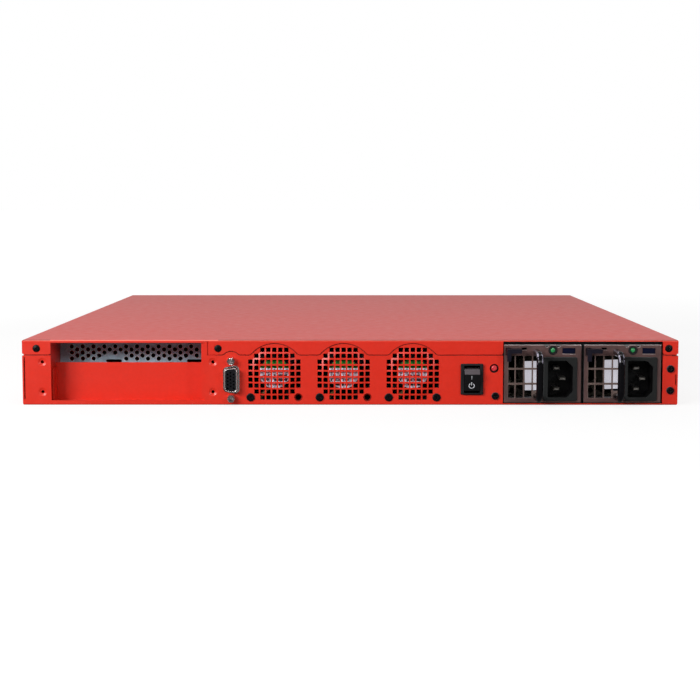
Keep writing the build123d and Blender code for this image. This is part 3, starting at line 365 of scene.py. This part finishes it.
def black_nickel(name):
    """The supplies' dark plated faces, brushed across, with painted highlights on the guard bars and upward
    edges.
    """
    look = Look(name, srgb(106, 80, 78), rough=0.42, metal=0.6, Specular_IOR_Level=0.35)
    for supply in (1, 2):
        low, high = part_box(f"psu_{supply}_faceplate")
        # Painted highlight: the guard's bars are laid lighter than the plate round them.
        guard_x = look.between(look.axis("x"), low[0] + 2.3 * MM, low[0] + 24.2 * MM)
        guard_z = look.between(look.axis("z"), low[2] + 3.0 * MM, high[2] - 7.2 * MM)
        look.paint(look.product(guard_x, guard_z, 0.8), srgb(126, 108, 102))
    # Painted highlight on the edges that face up.
    look.paint(look.span(look.facing("z"), 0.3, 0.6, 0.0, 0.4), srgb(196, 186, 186))
    look.mottle(90, 0.1)
    look.gloss(340, 0.34, 0.52)
    look.relief(look.noise(1700, 3, look.stretched(0.08, 1, 1)), 0.00002, 0.5)
    return look.material


def circuit(name):
    """Green solder mask over tracks, with bare pads."""
    look = Look(name, srgb(14, 70, 44), rough=0.3)
    tracks = look.cells(220, "DISTANCE_TO_EDGE", "Distance")
    look.paint(look.span(tracks, 0.04, 0.07, 0.7, 0.0), srgb(28, 110, 66))
    pads = look.cells(330, "F1", "Distance")
    look.paint(look.span(pads, 0.10, 0.14, 1.0, 0.0), srgb(186, 178, 150))
    look.mottle(30, 0.08)
    look.gloss(90, 0.24, 0.42)
    look.relief(tracks, 0.00004, 0.5)
    return look.material


def finned(name):
    """Bare extruded aluminium, with draw lines along Y."""
    look = Look(name, srgb(178, 180, 184), rough=0.36, metal=1.0)
    look.mottle(150, 0.08)
    look.gloss(300, 0.28, 0.46)
    look.relief(look.noise(2000, 3, look.stretched(1, 0.04, 1)), 0.00002, 0.6)
    return look.material


def tinted(name, tone, dark):
    """A small tinted cap or light guide under a clear coat, clouded with a darker tone."""
    look = Look(name, srgb(*tone), rough=0.2, Coat_Weight=0.6, Coat_Roughness=0.06)
    look.paint(look.span(look.noise(700, 2), 0.35, 0.65, 0.0, 0.5), srgb(*dark))
    look.gloss(900, 0.12, 0.3)
    look.relief(look.noise(1500, 2), 0.00002, 0.3)
    return look.material


def lens_look(name):
    """Clear window over a grey-green display, with the display's dot rows just visible."""
    look = Look(name, srgb(120, 146, 118), rough=0.12, Coat_Weight=0.8, Coat_Roughness=0.03)
    dots_per_metre = 1450.0
    x = look.maths("FRACT", look.maths("MULTIPLY", look.axis("x"), dots_per_metre))
    z = look.maths("FRACT", look.maths("MULTIPLY", look.axis("z"), dots_per_metre))
    grid = look.maths("MINIMUM", look.span(x, 0.1, 0.2), look.span(z, 0.1, 0.2))
    look.paint(look.maths("MULTIPLY", grid, 0.22), srgb(88, 112, 90))
    look.mottle(40, 0.05)
    look.gloss(200, 0.08, 0.2)
    return look.material


FINISHES = {
    "coat": powder_coat("coat_tray"),
    # The white colour after the vent's metalness is a painted highlight on its holes' rims.
    "vent": zinc_sheet("zinc_vent", (166, 192, 208), 420, 0.0, srgb(255, 255, 255)),
    # The burrs get a near-white, non-metal copy of the vent's zinc: a painted highlight on the holes' rims.
    "burr": zinc_sheet("zinc_burr", (236, 246, 255), 900, 0.0),
    "cage": zinc_sheet("zinc_cage", (46, 48, 50), 110),
    "case": zinc_sheet("zinc_case", (140, 142, 143), 120, 0.5),
    "nickel": plated("nickel_bright", (216, 208, 206), 0.17),
    "jack": plated("nickel_jack", (176, 175, 172), 0.3),
    "pins": plated("nickel_pins", (150, 146, 140), 0.3),
    "oxide": black_oxide("black_oxide"),
    "black": moulded("moulded_black"),
    "fan": moulded("moulded_fan", (24, 24, 27)),
    "hub": moulded("moulded_hub", (74, 70, 62)),
    "inlet": inlet_look("moulded_inlet"),
    "insulator": moulded("moulded_insulator", (20, 20, 24), 0.3, 0.42),
    "rocker": rocker_face("moulded_rocker"),
    "keys": moulded("moulded_key", (150, 150, 152), 0.4, 0.55),
    "handle": gloss_paint("enamel_handle"),
    "cap": moulded("moulded_cap", (10, 14, 38), 0.12, 0.2, 0.000002),
    "foam": foam("filter_foam"),
    "mark": moulded("printed_white", (214, 216, 222), 0.4, 0.5, 0.000004),
    "gold": plated("contact_gold", (212, 172, 92), 0.26),
    "latch": moulded("painted_latch", (30, 27, 38), 0.3, 0.42, 0.00001, 0.3),
    "face": black_nickel("plated_face"),
    "board": circuit("circuit_board"),
    "fins": finned("extruded_fins"),
    "brass": plated("plated_brass", (196, 176, 120), 0.3),
    "green": tinted("guide_green", (46, 150, 84), (12, 74, 40)),
    "alarm": tinted("cap_red", (222, 58, 66), (150, 24, 32)),
    "lens": lens_look("display_window"),
}

NODE_FINISH = {
    "tray": "coat", "rear_wall": "coat", "top_cover": "coat", "bay_bracket": "coat", "front_panel": "coat",
    "vent_plate": "vent", "psu_cage": "cage", "psu_backplane": "board", "mainboard": "board",
    "cover_screws": "oxide", "wall_screws": "oxide", "fan_screws": "oxide", "front_screws": "oxide",
    "vga_shell": "nickel", "vga_jackscrews": "nickel", "vga_insulator": "insulator",
    "switch_housing": "black", "power_rocker": "rocker", "alarm_button": "alarm",
    "alarm_switch_body": "black", "board_standoffs": "brass", "memory_modules": "board",
    "cpu_heatsink": "fins", "ethernet_jacks": "jack", "console_jack": "jack", "usb_ports": "jack",
    "sfp_cages": "jack", "display_board": "board", "lcd_lens": "lens", "status_leds": "green",
}
SUPPLY_FINISH = {
    "case": "case", "faceplate": "face", "inlet": "inlet", "inlet_pins": "pins", "handle": "handle",
    "latch": "latch", "led": "green", "board": "board", "fan_frame": "hub", "fan_rotor": "fan",
}
for fan in (1, 2, 3):
    NODE_FINISH[f"fan_{fan}_frame"] = "fan"
    NODE_FINISH[f"fan_{fan}_rotor"] = "fan"
for key in ("up", "down", "left", "right"):
    NODE_FINISH[f"key_{key}"] = "keys"
for supply in (1, 2):
    for part, finish in SUPPLY_FINISH.items():
        NODE_FINISH[f"psu_{supply}_{part}"] = finish

for name, node in nodes.items():
    for slot in node.material_slots:
        slot.material = FINISHES[NODE_FINISH[name]]


# ---------------------------------------------------------------- mesh helpers
def piece(name, mesh_maker, material, body, smooth=None, **place):
    """A new mesh object that rides on a body. mesh_maker fills a bmesh in the object's frame, in metres.
    smooth is the angle in degrees up to which edges are shaded round."""
    bm = bmesh.new()
    mesh_maker(bm, **place)
    bmesh.ops.recalc_face_normals(bm, faces=bm.faces)
    mesh = bpy.data.meshes.new(name)
    bm.to_mesh(mesh)
    bm.free()
    obj = bpy.data.objects.new(name, mesh)
    bpy.context.scene.collection.objects.link(obj)
    mesh.materials.append(material)
    if smooth is not None:
        mesh.shade_smooth()
        mesh.set_sharp_from_angle(angle=math.radians(smooth))
    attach(obj, body)


def offset_points(origin, points):
    """Points given in millimetres from an origin in metres."""
    return [[start + step * MM for start, step in zip(origin, point)] for point in points]


def lathe(bm, profile, centre, axis="y", steps=48):
    """Turns a profile of (radius, distance along the axis), in millimetres, about an axis through centre."""
    rings = []
    for radius, along in profile:
        ring = []
        for i in range(steps if radius > 0 else 1):
            a = 2 * math.pi * i / steps
            u, v, w = radius * MM * math.cos(a), radius * MM * math.sin(a), along * MM
            offset = (u, w, v) if axis == "y" else (u, v, w)
            ring.append(bm.verts.new(Vector(centre) + Vector(offset)))
        rings.append(ring)
    for a, b in zip(rings, rings[1:]):
        for i in range(steps):
            j = (i + 1) % steps
            if len(a) == 1:
                bm.faces.new((a[0], b[i], b[j]))
            elif len(b) == 1:
                bm.faces.new((a[i], b[0], a[j]))
            else:
                bm.faces.new((a[i], b[i], b[j], a[j]))


def slab(bm, low, high, bevel, segments=2):
    """A box between two corners with rounded edges."""
    size = Vector(high) - Vector(low)
    centre = (Vector(high) + Vector(low)) / 2
    place = Matrix.Translation(centre) @ Matrix.Diagonal((*size, 1))
    made = bmesh.ops.create_cube(bm, size=1.0, matrix=place)
    edges = list({e for v in made["verts"] for e in v.link_edges})
    bmesh.ops.bevel(bm, geom=edges, offset=bevel, segments=segments, affect="EDGES", profile=0.5)


def smooth_line(points, samples):
    """Points along a Catmull-Rom curve through the given points."""
    line = []
    padded = [points[0]] + list(points) + [points[-1]]
    for i in range(len(points) - 1):
        p0, p1, p2, p3 = (Vector(p) for p in padded[i : i + 4])
        for s in range(samples):
            t = s / samples
            bend = 2 * p0 - 5 * p1 + 4 * p2 - p3
            line.append(0.5 * (2 * p1 + (p2 - p0) * t + bend * t * t + (3 * p1 - p0 - 3 * p2 + p3) * t ** 3))
    line.append(Vector(points[-1]))
    return line


def tube(bm, points, radius, steps=10, samples=8):
    """A round wire along a smooth line through the points."""
    line = smooth_line(points, samples)
    rings = []
    for i, p in enumerate(line):
        along = (line[min(i + 1, len(line) - 1)] - line[max(i - 1, 0)]).normalized()
        side = along.cross(Vector((0, 0, 1)))
        if side.length < 0.1:
            side = along.cross(Vector((1, 0, 0)))
        side.normalize()
        other = along.cross(side).normalized()
        ring = []
        for k in range(steps):
            a = 2 * math.pi * k / steps
            ring.append(bm.verts.new(p + (side * math.cos(a) + other * math.sin(a)) * radius))
        rings.append(ring)
    for a, b in zip(rings, rings[1:]):
        for i in range(steps):
            j = (i + 1) % steps
            bm.faces.new((a[i], a[j], b[j], b[i]))
    bm.faces.new(list(reversed(rings[0])))
    bm.faces.new(rings[-1])


# ---------------------------------------------------------------- fan labels and leads
LABEL_RADIUS = 10.2
LABEL_BAND = 3.5 * MM
LABEL_ROWS = 3.1 * MM


def label_look(name, cx, cz):
    """A printed label: pale lilac with rows of plain marks that spell nothing, under a green band."""
    look = Look(name, srgb(232, 232, 250), rough=0.36, Specular_IOR_Level=0.2)
    x = look.maths("SUBTRACT", look.axis("x"), cx)
    z = look.maths("SUBTRACT", look.axis("z"), cz)
    row = look.maths("FRACT", look.maths("MULTIPLY", z, 1 / LABEL_ROWS))
    line = look.between(row, 0.3, 0.78, 0.04)
    marks = look.span(look.noise(620, 0, look.stretched(1, 1, 0.15)), 0.47, 0.5)
    inside = look.span(look.maths("ABSOLUTE", x), 8.4 * MM, 8.8 * MM, 1.0, 0.0)
    look.paint(look.product(line, marks, inside, 0.95), srgb(20, 20, 28))
    look.paint(look.span(z, LABEL_BAND - 0.05 * MM, LABEL_BAND + 0.05 * MM), srgb(0, 132, 40))
    look.mottle(300, 0.04)
    look.gloss(500, 0.3, 0.42)
    look.relief(look.noise(1200, 2), 0.00002, 0.3)
    return look.material


def fan_label(bm, centre):
    """A thin disc with a rolled rim, its face towards -Y."""
    thin = 0.12
    profile = [(0, -thin), (LABEL_RADIUS - 0.15, -thin), (LABEL_RADIUS, -thin * 0.4), (LABEL_RADIUS, 0)]
    lathe(bm, profile, centre, "y", 64)


def fan_leads(bm, hub):
    """Three leads side by side, from the hub down to the frame's lower left."""
    route = [(-4, 1.2, -9), (-8, 0.4, -13), (-11, 0.6, -16.6), (-13, 2, -19)]
    for k in range(3):
        start = (hub[0] + k * 0.9 * MM, hub[1], hub[2])
        tube(bm, offset_points(start, route), 0.42 * MM)


for fan in (1, 2, 3):
    low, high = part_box(f"fan_{fan}_frame")
    hub = ((low[0] + high[0]) / 2, low[1] + HUB_SINK, (low[2] + high[2]) / 2)
    printed = label_look(f"fan_label_{fan}", hub[0], hub[2])
    piece(f"fan_{fan}_label", fan_label, printed, "chassis", 30, centre=hub)
    wire = Look(f"fan_lead_{fan}", srgb(104, 92, 40), rough=0.45)
    wire.mottle(800, 0.3).gloss(600, 0.4, 0.55)
    piece(f"fan_{fan}_leads", fan_leads, wire.material, "chassis", 40, hub=hub)

# ---------------------------------------------------------------- vent plate
# In millimetres: the margin is from the plate's left edge to the first column, the top row's height is from
# the floor, and every second column sits half a pitch lower and has one hole fewer.
VENT_COLUMNS, VENT_ROWS = 24, 3
VENT_PITCH_X, VENT_PITCH_Z = 3.74, 4.2
VENT_MARGIN, VENT_TOP_ROW = 8.0, 36.2
# Where no hole is punched: a stretch's middle and width, and the height below which it is plain.
VENT_PLAIN = ((-162.8, 13.6, 30.5), (-105.6, 16.8, 28.5))


def vent_burrs(bm):
    """The rolled rim that the punch leaves round each hole of the vent plate."""
    left_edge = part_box("vent_plate")[0][0]
    rim = [(1.46, 0.3), (1.48, -0.16), (1.6, -0.3), (1.76, -0.22), (1.9, 0.0)]
    for column in range(VENT_COLUMNS):
        x = left_edge + (VENT_MARGIN + column * VENT_PITCH_X) * MM
        for row in range(VENT_ROWS - column % 2):
            z = (VENT_TOP_ROW - (row + column % 2 / 2) * VENT_PITCH_Z) * MM
            plain = [abs(x - middle * MM) < width * MM / 2 and z < under * MM
                     for middle, width, under in VENT_PLAIN]
            if not any(plain):
                lathe(bm, rim, (x, VENT_FACE, z), "y", 20)


piece("vent_burrs", vent_burrs, FINISHES["burr"], "chassis", 50)


# ---------------------------------------------------------------- details of the two supplies
def paper_look(name):
    """White coated paper with faint lilac printing in columns and a faint glow of its own, which is painted
    light.
    """
    look = Look(name, srgb(240, 238, 240), rough=0.5, Specular_IOR_Level=0.4)
    # Painted light: a weak glow that keeps the sticker bright behind the guard.
    look.shader.inputs["Emission Color"].default_value = (0.92, 0.9, 1.0, 1.0)
    look.shader.inputs["Emission Strength"].default_value = 0.5
    column = look.maths("FRACT", look.maths("MULTIPLY", look.axis("x"), 1 / (2.6 * MM)))
    stroke = look.between(column, 0.25, 0.6, 0.08)
    broken = look.span(look.noise(420, 1, look.stretched(0.3, 1, 1)), 0.48, 0.54)
    look.paint(look.product(stroke, broken, 0.4), srgb(176, 172, 196))
    look.mottle(200, 0.03)
    look.gloss(300, 0.44, 0.56)
    look.relief(look.noise(900, 2), 0.00003, 0.3)
    return look.material


def fan_sticker(bm, corner, tilt):
    """A rectangular sticker facing -Y, turned about its lower left corner by an angle in degrees."""
    slab(bm, *offset_points(corner, [(0, -0.1, 0), (12.6, 0, 20.1)]), 0.04 * MM)
    turn = Matrix.Rotation(math.radians(tilt), 4, "Y")
    bmesh.ops.rotate(bm, verts=bm.verts, cent=corner, matrix=turn.to_3x3())


def led_bezel(bm, centre):
    """The black ring round the indicator."""
    ring = [(1.68, 0.0), (1.68, -0.35), (1.85, -0.6), (2.8, -0.6), (3.05, -0.35), (3.05, 0.0), (1.68, 0.0)]
    lathe(bm, ring, centre)


def window_cap(bm, corner):
    """The dark window beside the indicator: a base, and a smaller pane that stands forward of it."""
    slab(bm, *offset_points(corner, [(38.3, 1.05, 34.0), (47.6, 2.4, 38.9)]), 0.2 * MM)
    slab(bm, *offset_points(corner, [(38.8, 0.45, 34.9), (47.1, 1.3, 38.2)]), 0.25 * MM, 3)


def supply_wires(bm, corner):
    """The three wires that loop behind the guard, from the fan's hub to the frame's left side."""
    route = [(15, 1.5, 11), (10, -1, 9), (6.5, -2, 11.5), (3.4, -0.5, 14)]
    for k in range(3):
        start = (corner[0], corner[1], corner[2] + k * 0.8 * MM)
        tube(bm, offset_points(start, route), 0.4 * MM)


paper = paper_look("fan_sticker")
# Each sticker's lower left corner, in millimetres from the faceplate's side and the floor, and its tilt.
STICKER = {1: (17.4, 6.2, -1.0), 2: (18.9, 7.1, -1.8)}
for supply in (1, 2):
    body = f"psu_{supply}"
    low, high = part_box(f"{body}_faceplate")
    hub_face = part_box(f"{body}_fan_frame")[0][1] + HUB_SINK
    across, up, tilt = STICKER[supply]
    corner = (low[0] + across * MM, hub_face, up * MM)
    piece(f"{body}_fan_sticker", fan_sticker, paper, body, corner=corner, tilt=tilt)

    lamp = [(a + b) / 2 for a, b in zip(*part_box(f"{body}_led"))]
    bezel_at = (lamp[0], low[1], lamp[2])
    piece(f"{body}_led_bezel", led_bezel, FINISHES["black"], body, 35, centre=bezel_at)
    piece(f"{body}_window_cap", window_cap, FINISHES["cap"], body, 40, corner=(low[0], low[1], 0))

    sleeve = Look(f"{body}_wire_sleeve", srgb(96, 92, 78), rough=0.5)
    sleeve.mottle(700, 0.25).gloss(600, 0.44, 0.56)
    piece(f"{body}_fan_wires", supply_wires, sleeve.material, body, 40, corner=(low[0], hub_face, 0))

# ---------------------------------------------------------------- rocker marks and video contacts
# The rocker's marks: how far in front of the pivot and how far aside they lie, and their lean in degrees.
ROCKER_FORWARD, ROCKER_ASIDE, ROCKER_LEAN = 8.0 * MM, 0.4 * MM, 14.0
PRINT_THICK = 0.04 * MM


def pivot_of(joint_name):
    """Where the record puts a joint's axis."""
    return next(j["pos_m"] for j in frame["joints"] if j["name"] == joint_name)


def printed_arc(bm, cz, inner, outer, start, end, steps=32):
    """Part of a flat ring about (0, cz), between two angles in degrees measured from straight up."""
    rows = []
    for i in range(steps + 1):
        a = math.radians(start + (end - start) * i / steps)
        rows.append([bm.verts.new((r * math.sin(a), y, cz + r * math.cos(a)))
                     for r, y in ((inner, 0), (outer, 0), (outer, -PRINT_THICK), (inner, -PRINT_THICK))])
    for a, b in zip(rows, rows[1:]):
        for i in range(4):
            j = (i + 1) % 4
            bm.faces.new((a[i], b[i], b[j], a[j]))
    bm.faces.new(rows[0])
    bm.faces.new(list(reversed(rows[-1])))


def rocker_marks(bm):
    """The usual on and power symbols, built upright and then laid on the rocker's flat face."""
    slab(bm, (-0.13 * MM, -PRINT_THICK, 2.3 * MM), (0.13 * MM, 0, 4.9 * MM), 0.015 * MM)
    printed_arc(bm, -2.2 * MM, 1.5 * MM, 1.98 * MM, 32, 328)
    slab(bm, (-0.2 * MM, -PRINT_THICK, -1.9 * MM), (0.2 * MM, 0, 0.35 * MM), 0.015 * MM)
    pivot = Vector(pivot_of("power_switch"))
    lay = Matrix.Translation(pivot) @ Matrix.Rotation(math.radians(ROCKER_LEAN), 4, "X")
    lay @= Matrix.Translation((-ROCKER_ASIDE, -ROCKER_FORWARD, 0))
    bmesh.ops.transform(bm, matrix=lay, verts=bm.verts)


piece("rocker_marks", rocker_marks, FINISHES["mark"], "rocker")

shell_low, shell_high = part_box("vga_shell")
screws_low, screws_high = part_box("vga_jackscrews")
VGA = ((shell_low[0] + shell_high[0]) / 2, shell_low[1], (screws_low[2] + screws_high[2]) / 2)
VGA_COLUMNS_APART, VGA_PINS_APART = 1.98, 2.29


def video_contacts(bm):
    """Fifteen dark sockets, one down each hole of the moulded face. The middle column sits a quarter pitch
    up and the outer ones a quarter pitch down."""
    socket = [(0.3, 4.4), (0.3, 2.9), (0.36, 2.75), (0.5, 2.75), (0.5, 4.4)]
    for column in (-1, 0, 1):
        for row in range(-2, 3):
            stagger = 0.57 if column == 0 else -0.57
            x = VGA[0] + column * VGA_COLUMNS_APART * MM
            z = VGA[2] + (row * VGA_PINS_APART + stagger) * MM
            lathe(bm, socket, (x, VGA[1], z), "y", 16)


piece("video_contacts", video_contacts, FINISHES["oxide"], "chassis", 40)

# ---------------------------------------------------------------- front panel details
front_low, front_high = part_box("front_panel")
PANEL_BACK, PANEL_FACE = front_low[1], front_high[1]
# Each jack's middle in millimetres, and the side on which its latch is: 1 above and -1 below.
JACK_PITCH, FIRST_JACK = 14.2, 9.8
JACK_ROWS = ((15.0, -1), (28.6, 1))
NETWORK_JACKS = [(FIRST_JACK - JACK_PITCH * i, z, tab) for i in range(3) for z, tab in JACK_ROWS]
CONSOLE_JACK = (61.0, 20.9, 1)


def jack_contacts(bm):
    """Eight sprung wires in each network and console jack, on the side away from the latch."""
    for x, z, tab in (*NETWORK_JACKS, CONSOLE_JACK):
        for pin in range(8):
            px = (x + (pin - 3.5) * 1.02) * MM
            wall = (z - tab * 3.9) * MM
            tip = (z - tab * 1.2) * MM
            bend = wall + (tip - wall) * 0.3
            route = [(px, PANEL_FACE - 2.6 * MM, wall), (px, PANEL_FACE - 3.4 * MM, bend),
                     (px, PANEL_FACE - 9.0 * MM, tip), (px, PANEL_FACE - 11.5 * MM, tip)]
            tube(bm, route, 0.17 * MM, 6, 4)


def usb_contacts(bm):
    """Four pads on the tongue of each of the two USB sockets."""
    low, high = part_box("usb_ports")
    middle_x, middle_z = (low[0] + high[0]) / 2, (low[2] + high[2]) / 2
    for z in (middle_z - 3.9 * MM, middle_z + 3.9 * MM):
        for pad in range(4):
            middle = (middle_x + (pad - 1.5) * 2.3 * MM, PANEL_FACE, z)
            slab(bm, *offset_points(middle, [(-0.5, -9.0, 0.12), (0.5, -1.2, 0.22)]), 0.03 * MM)


def jack_windows(bm):
    """Two small indicator windows beside each network jack's latch."""
    for x, z, tab in NETWORK_JACKS:
        for side in (-1, 1):
            middle = ((x + side * 5.1) * MM, PANEL_FACE, (z + tab * 5.3) * MM)
            slab(bm, *offset_points(middle, [(-1.1, 0.5, -0.55), (1.1, 0.72, 0.55)]), 0.08 * MM)


piece("jack_contacts", jack_contacts, FINISHES["gold"], "chassis", 40)
piece("usb_contacts", usb_contacts, FINISHES["gold"], "chassis")
piece("jack_windows", jack_windows, FINISHES["green"], "chassis", 40)


# ---------------------------------------------------------------- filters and floor studs
def intake_filter(bm):
    """A strip of filter foam behind the front panel's intake slots."""
    strip = offset_points((0, PANEL_BACK, 0), [(-206, -5.0, 6), (-88, -0.1, 37.6)])
    slab(bm, *strip, 0.5 * MM)


def side_filter(bm, side):
    """A foam pad behind one side wall's slots. side is -1 on the left and 1 on the right."""
    near, far = sorted(side * (CASE_SIDE - depth * MM) for depth in (1.1, 4.1))
    slab(bm, (near, 52 * MM, 2.0 * MM), (far, 168 * MM, 29.8 * MM), 0.5 * MM)


def floor_studs(bm):
    """The flush heads of the standoffs pressed through the tray's floor, each with its blind bore."""
    head = [(0, 0.3), (1.5, 0.3), (1.5, -0.02), (1.6, -0.04), (2.7, -0.04), (2.85, 0.0), (2.85, 0.2)]
    for x in (-200, -58, 84):
        for y in (-120, 60, 180):
            lathe(bm, head, (x * MM, y * MM, 0), "z", 32)


piece("floor_studs", floor_studs, FINISHES["nickel"], "chassis", 40)
piece("intake_filter", intake_filter, FINISHES["foam"], "chassis")
piece("side_filter_left", side_filter, FINISHES["foam"], "chassis", side=-1)
piece("side_filter_right", side_filter, FINISHES["foam"], "chassis", side=1)

# ---------------------------------------------------------------- floor, light and camera
FLOOR_GLOW = 0.05
WORLD_FRONT, WORLD_BEHIND, WORLD_ABOVE = 0.05, 0.56, 0.2
# The camera looks at the rear wall. Its place is in millimetres, and its tilt and turn are in degrees.
CAMERA_AT = (2.474, -1264.38, 133.19)
CAMERA_DOWN, CAMERA_TURN, CAMERA_LENS = 5.443, 0.141, 78.243


def studio_floor():
    """A pale floor. It looks almost white to the camera and lights the object only a little."""
    look = Look("studio_floor", (0.16, 0.16, 0.16, 1.0), rough=0.9, Specular_IOR_Level=0.05)
    look.mottle(3, 0.004)
    away = look.tree.nodes.new("ShaderNodeVectorMath")
    away.operation = "LENGTH"
    look.join(look.place, away.inputs[0])
    glow = look.span(away.outputs["Value"], 0.5, 1.6, 0.84, 1.0)
    seen = look.tree.nodes.new("ShaderNodeLightPath").outputs["Is Camera Ray"]
    look.shader.inputs["Emission Color"].default_value = (1.0, 1.0, 1.0, 1.0)
    strength = look.product(glow, look.span(seen, 0, 1, FLOOR_GLOW, 1))
    look.join(strength, look.shader.inputs["Emission Strength"])
    bm = bmesh.new()
    bmesh.ops.create_grid(bm, x_segments=2, y_segments=2, size=30.0)
    mesh = bpy.data.meshes.new("studio_floor")
    bm.to_mesh(mesh)
    bm.free()
    mesh.materials.append(look.material)
    floor = bpy.data.objects.new("studio_floor", mesh)
    floor.location.z = cad_box[0][2] - 0.05 * MM
    bpy.context.scene.collection.objects.link(floor)


def studio_world():
    """A white backdrop to the camera. The light it gives is dim in front and brighter behind and above."""
    world = bpy.data.worlds.new("studio")
    bpy.context.scene.world = world
    world.use_nodes = True
    tree = world.node_tree

    def ramp(value, low, high, to_low, to_high):
        node = tree.nodes.new("ShaderNodeMapRange")
        tree.links.new(value, node.inputs["Value"])
        limits = {"From Min": low, "From Max": high, "To Min": to_low, "To Max": to_high}
        for socket, limit in limits.items():
            node.inputs[socket].default_value = limit
        return node.outputs["Result"]

    def larger(a, b):
        node = tree.nodes.new("ShaderNodeMath")
        node.operation = "MAXIMUM"
        tree.links.new(a, node.inputs[0])
        tree.links.new(b, node.inputs[1])
        return node.outputs[0]

    direction = tree.nodes.new("ShaderNodeSeparateXYZ")
    tree.links.new(tree.nodes.new("ShaderNodeTexCoord").outputs["Generated"], direction.inputs[0])
    behind = ramp(direction.outputs["Y"], -0.1, 0.8, WORLD_FRONT, WORLD_BEHIND)
    above = ramp(direction.outputs["Z"], 0.3, 0.9, 0.0, WORLD_ABOVE)
    seen = tree.nodes.new("ShaderNodeLightPath").outputs["Is Camera Ray"]
    background = tree.nodes["Background"]
    tree.links.new(larger(seen, larger(behind, above)), background.inputs["Strength"])
    background.inputs["Color"].default_value = (1.0, 1.0, 1.0, 1.0)


def softbox(name, at, towards, size, power):
    """A rectangular light of a size in metres and a power in watts, aimed at a point."""
    light = bpy.data.lights.new(name, "AREA")
    light.shape = "RECTANGLE"
    light.size, light.size_y = size
    light.energy = power
    obj = bpy.data.objects.new(name, light)
    obj.location = at
    obj.rotation_euler = (Vector(towards) - Vector(at)).to_track_quat("-Z", "Y").to_euler()
    bpy.context.scene.collection.objects.link(obj)


studio_floor()
studio_world()
softbox("key_left", (-1.0, -1.35, 0.56), (0, -0.2, 0.02), (0.8, 0.4), 22)
softbox("front_strip", (-0.1, -1.5, 0.6), (0, -0.25, 0.02), (1.6, 0.14), 3.0)
softbox("back_soft", (-1.3, 1.0, 0.45), (0, 0.25, 0.02), (0.6, 0.4), 7)
softbox("overhead", (0, -0.3, 1.2), (0, -0.25, 0.02), (1.2, 0.08), 4.5)
softbox("fill_right", (0.8, -1.35, 0.46), (0, -0.2, 0.02), (0.34, 0.34), 3.6)

scene = bpy.context.scene
scene.view_settings.view_transform = "Standard"
scene.view_settings.look = "None"

camera_data = bpy.data.cameras.new("camera")
camera_data.lens = CAMERA_LENS
camera_data.sensor_width = 36.0
camera_data.clip_start = 0.01
camera_data.clip_end = 100.0
camera = bpy.data.objects.new("camera", camera_data)
camera.location = [c * MM for c in CAMERA_AT]
camera.rotation_euler = (math.radians(90 - CAMERA_DOWN), 0.0, math.radians(CAMERA_TURN))
scene.collection.objects.link(camera)
scene.camera = camera
